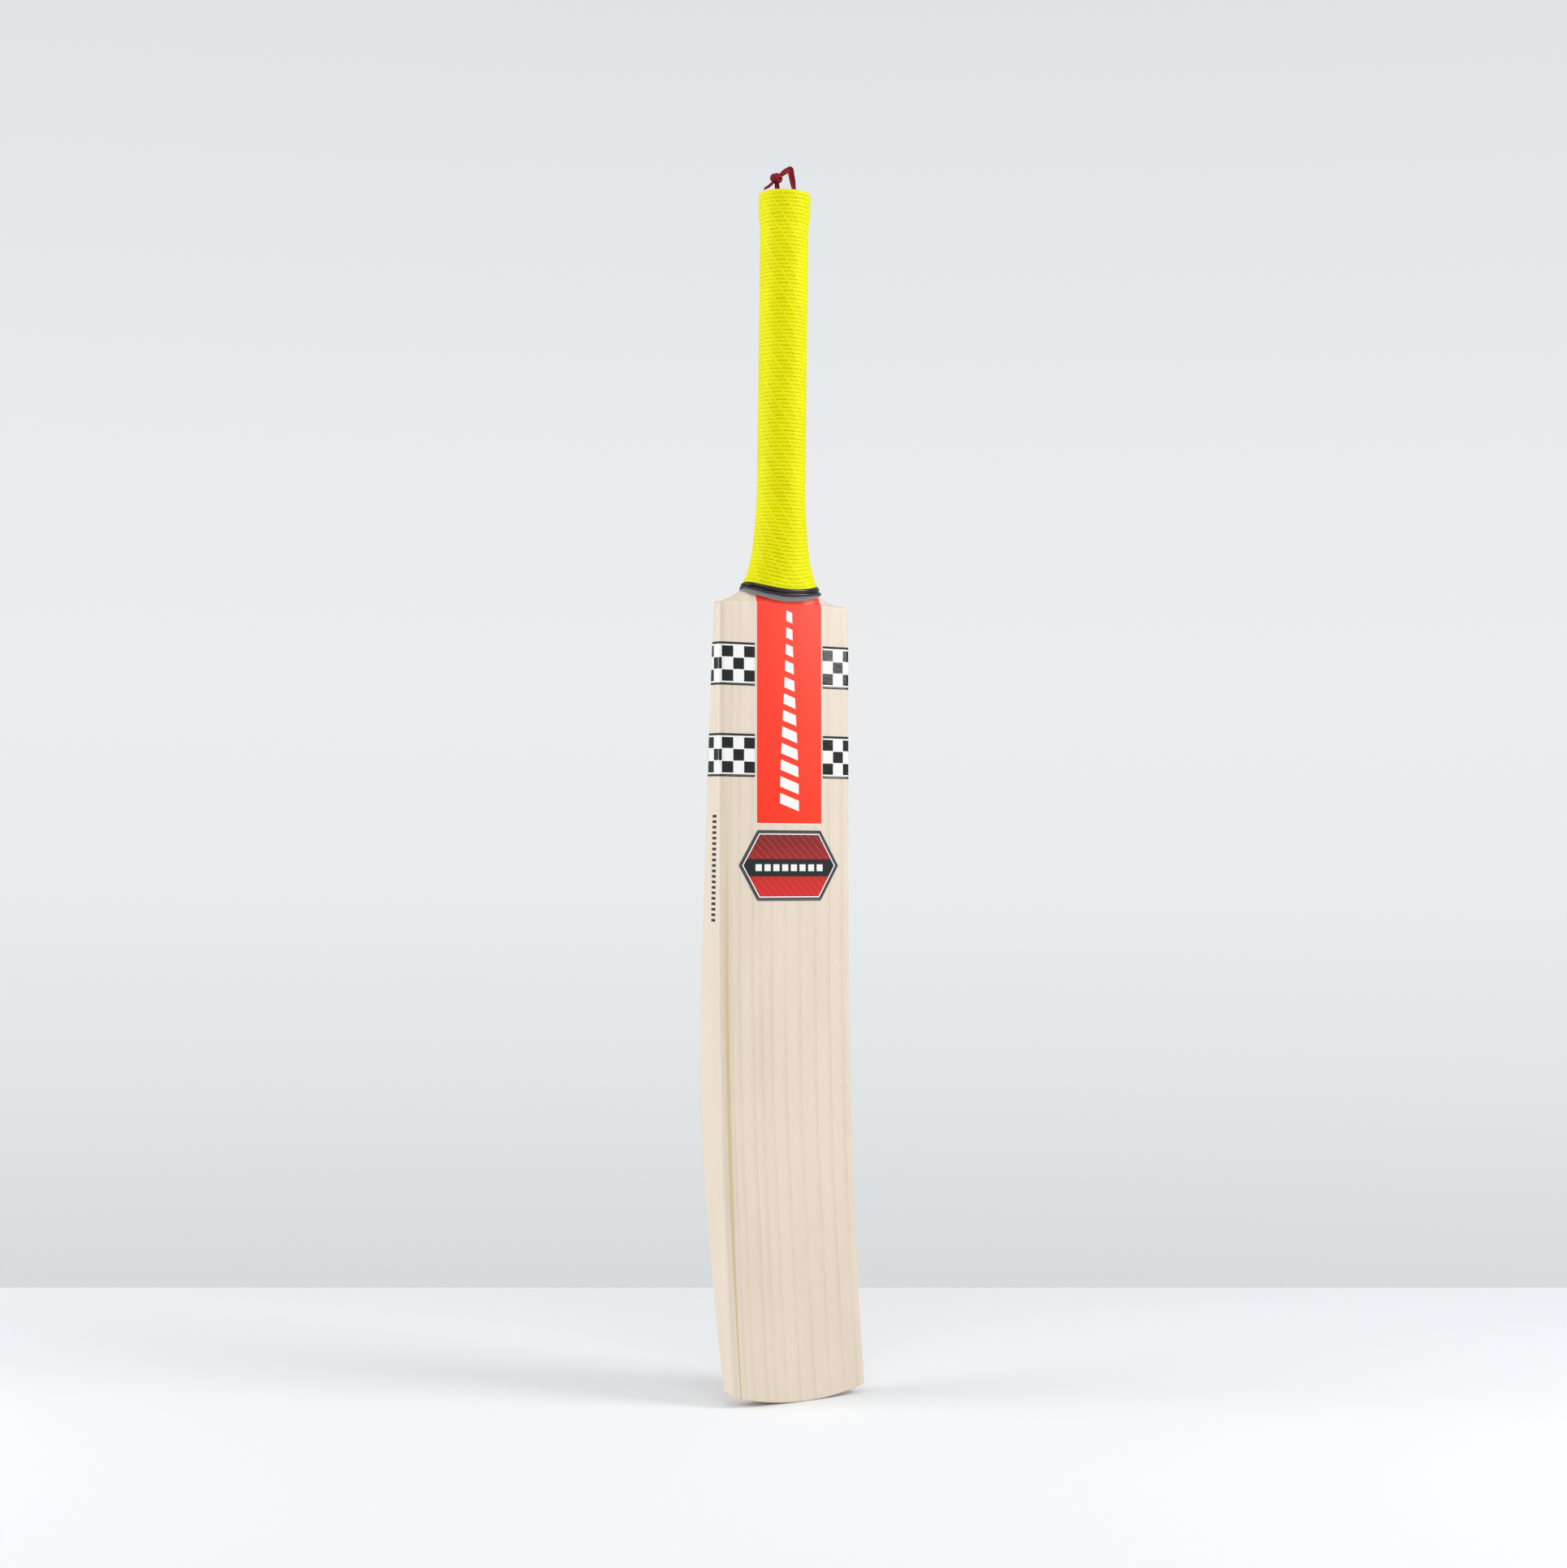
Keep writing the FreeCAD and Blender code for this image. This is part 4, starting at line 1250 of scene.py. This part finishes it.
def badge_finish():
    """A badge with a grey rim, a white line, a red field, and a black ribbon bar with pale blocks."""
    finish = Finish("badge_film", Roughness=0.26, IOR=1.5)
    across, up = finish.flat_place()
    half_width, _, half_height = (float(side) for side in (BADGE_HIGH - BADGE_LOW) / 2)
    slant = math.hypot(half_height, BADGE_POINT)
    side = (half_width - abs(across)) * (half_height / slant) - abs(up) * (BADGE_POINT / slant)
    depth = side.smaller(half_height - abs(up))
    field = finish.mix(up.ramp(-half_height, half_height), srgb(214, 34, 30), srgb(120, 20, 24))
    ribs = ((across + up) / RIB_PITCH).fraction() < RIB_SHARE
    colour = finish.mix(ribs * 0.35, field, srgb(240, 90, 70))
    from_bar = abs(up + BADGE_BAR_DROP)
    blocks = (from_bar < BLOCK_HALF) * (abs(across) < BLOCKS_REACH)
    blocks = blocks * (((across - BLOCK_START) / BLOCK_PITCH).fraction() < BLOCK_SHARE)
    for share, shade in (
        (from_bar < BADGE_BAR_HALF, BLACK),
        (blocks, WHITE),
        (depth < BADGE_KEYLINE, WHITE),
        (depth < BADGE_RIM, srgb(62, 67, 70)),
    ):
        colour = finish.mix(share, colour, shade)
    return finish.colour(colour)


def grip_finish():
    finish = Finish("yellow_grip", Roughness=0.45, Specular_IOR_Level=0.14)
    grime = finish.grain(0.08, 0.08, 0.03, 3.0, 0.5)
    finish.bump(finish.grain(2.5, 2.5, 2.5), 0.03)
    return finish.colour(finish.mix(grime.ramp(0.3, 0.7), srgb(236, 234, 2), srgb(230, 227, 0)))


def mottled_finish(name, grain, first, second, low=0.3, high=0.7, relief=0.0, **settings):
    """Two shades mixed by noise, with relief from the same noise."""
    finish = Finish(name, **settings)
    noise = finish.grain(*grain)
    if relief:
        finish.bump(noise, relief)
    return finish.colour(finish.mix(noise.ramp(low, high), srgb(*first), srgb(*second)))


def twine_finish():
    # The thread is black: its mid grey is painted sheen, and the mottle stands for its fibres.
    grain, shades = (2.0, 2.0, 6.0, 3.0, 0.6), ((120, 120, 122), (160, 160, 160))
    return mottled_finish("black_twine_painted_sheen", grain, *shades, relief=0.05, Roughness=0.7)


def cane_finish():
    """Cane end grain: pale with small dark pores."""
    grain, shades = (3.2, 3.2, 0.05), ((222, 200, 160), (150, 118, 76))
    return mottled_finish("cane", grain, *shades, 0.55, 0.68, Roughness=0.6)


def ribbon_finish():
    """Crimson ribbon with a fine weave."""
    grain, shades = (5.0, 5.0, 9.0), ((112, 10, 30), (146, 18, 42))
    shine = {"Roughness": 0.6, "Specular_IOR_Level": 0.2}
    return mottled_finish("crimson_ribbon", grain, *shades, relief=0.06, **shine)


def plain_finish(name, colour, **settings):
    return Finish(name, **settings).colour(colour)


# ---------------------------------------------------------------- stage and light

FLOOR_BEHIND = 2.294
FLOOR_BEFORE = -1.2
FLOOR_HALF_WIDTH = 3.0


def lowest_along(thing, normal):
    places = np.empty(len(thing.data.vertices) * 3)
    thing.data.vertices.foreach_get("co", places)
    return float((places.reshape(-1, 3) @ np.array(normal)).min())


def add_floor(blade):
    """A pale table top under the toe, level across the picture."""
    normal = (Vector((0, 0, 1)) - RIGHT * RIGHT.z).normalized()
    ahead = normal.cross(RIGHT)
    foot = CAMERA_PLACE - normal * (CAMERA_PLACE.dot(normal) - lowest_along(blade, normal))
    corners = []
    for away in (FLOOR_BEFORE, FLOOR_BEHIND):
        for side in (-FLOOR_HALF_WIDTH, FLOOR_HALF_WIDTH):
            corners.append((foot + ahead * away + RIGHT * side) / MM)
    pale = plain_finish("floor", srgb(243, 245, 247), Roughness=0.75)
    mesh_object("floor", corners, [np.array([[0, 1, 3, 2]])], pale)


# painted shade on the wall: darker near the floor and towards the top
WALL_PAINTED_SHADE = (
    # height of the line of sight, display value
    (-0.176, (214, 218, 220)),
    (-0.09, (226, 230, 231)),
    (-0.03, (233, 235, 236)),
    (0.05, (236, 237, 239)),
    (0.125, (234, 235, 238)),
    (0.213, (228, 232, 235)),
    (0.30, (223, 227, 230)),
)
AMBIENT = 0.585


def add_wall():
    """A pale wall all round, with painted shade a little darker low down and towards the top, as the world's
    background.
    """
    world = bpy.data.worlds.new("wall")
    world.use_nodes = True
    tree = world.node_tree
    kinds = ("TexCoord", "SeparateXYZ", "MapRange", "ValToRGB", "Background", "LightPath", "MixShader")
    nodes = [tree.nodes.new("ShaderNode" + kind) for kind in kinds]
    place, split, spread_out, ramp, ambient, rays, mix = nodes
    low, high = WALL_PAINTED_SHADE[0][0], WALL_PAINTED_SHADE[-1][0]
    spread_out.inputs["From Min"].default_value = low
    spread_out.inputs["From Max"].default_value = high
    stops = ramp.color_ramp.elements
    for height, _ in WALL_PAINTED_SHADE[1:-1]:
        stops.new((height - low) / (high - low))
    for stop, (_, shade) in zip(stops, WALL_PAINTED_SHADE):
        stop.color = srgb(*shade)
    ambient.inputs[0].default_value = srgb(238, 240, 243)
    ambient.inputs[1].default_value = AMBIENT
    seen = tree.nodes["Background"]
    for output, entry in (
        (place.outputs["Generated"], split.inputs[0]),
        (split.outputs[2], spread_out.inputs["Value"]),
        (spread_out.outputs[0], ramp.inputs[0]),
        (ramp.outputs[0], seen.inputs[0]),
        (rays.outputs["Is Camera Ray"], mix.inputs[0]),
        (ambient.outputs[0], mix.inputs[1]),
        (seen.outputs[0], mix.inputs[2]),
        (mix.outputs[0], tree.nodes["World Output"].inputs[0]),
    ):
        tree.links.new(output, entry)
    bpy.context.scene.world = world


def direction(angle, height):
    """A direction angle degrees round from -Y towards +X, and raised by height degrees."""
    turn, lift = math.radians(angle), math.radians(height)
    return Vector((math.sin(turn) * math.cos(lift), -math.cos(turn) * math.cos(lift), math.sin(lift)))


SOFTBOXES = (
    # name, height it points at, turn and rise in degrees, distance, width, height, watts
    ("right_softbox", 0.56, 43.5, 23, 1.5, 0.62, 1.0, 13.0),
    ("left_softbox", 0.45, -111, 14, 1.7, 0.9, 1.2, 14.5),
    ("top_softbox", 0.45, -30, 62, 1.9, 1.2, 1.2, 7.2),
)


def add_lights():
    for name, aim, turn, rise, distance, width, height, power in SOFTBOXES:
        data = bpy.data.lights.new(name, "AREA")
        data.shape = "RECTANGLE"
        data.size, data.size_y, data.energy = width, height, power
        light = bpy.data.objects.new(name, data)
        target = Vector((0, 0, aim))
        light.location = target + direction(turn, rise) * distance
        light.rotation_euler = (target - light.location).to_track_quat("-Z", "Y").to_euler()
        bpy.context.collection.objects.link(light)


# ---------------------------------------------------------------- the bat


def build():
    add_camera()
    make_ribbon(ribbon_finish())
    blade, face = make_blade(willow_finish())
    half_label = float(LABEL_HIGH[0] - LABEL_LOW[0]) / 2
    make_labels(face, label_finish(half_label, True), label_finish(float(BACK_LABEL_HIGH[0]), False))
    make_bands(checker_finish())
    make_badge(badge_finish())
    make_edge_decal(plain_finish("black_print", BLACK, Roughness=0.35))
    make_core(cane_finish(), plain_finish("brown_rubber", srgb(70, 52, 40), Roughness=0.8))
    make_twine(twine_finish())
    make_ring(plain_finish("black_rubber", srgb(24, 24, 26), Roughness=0.2, IOR=1.5))
    make_grip(grip_finish())
    add_floor(blade)
    add_wall()
    add_lights()
    bpy.context.scene.view_settings.view_transform = "Standard"


build()
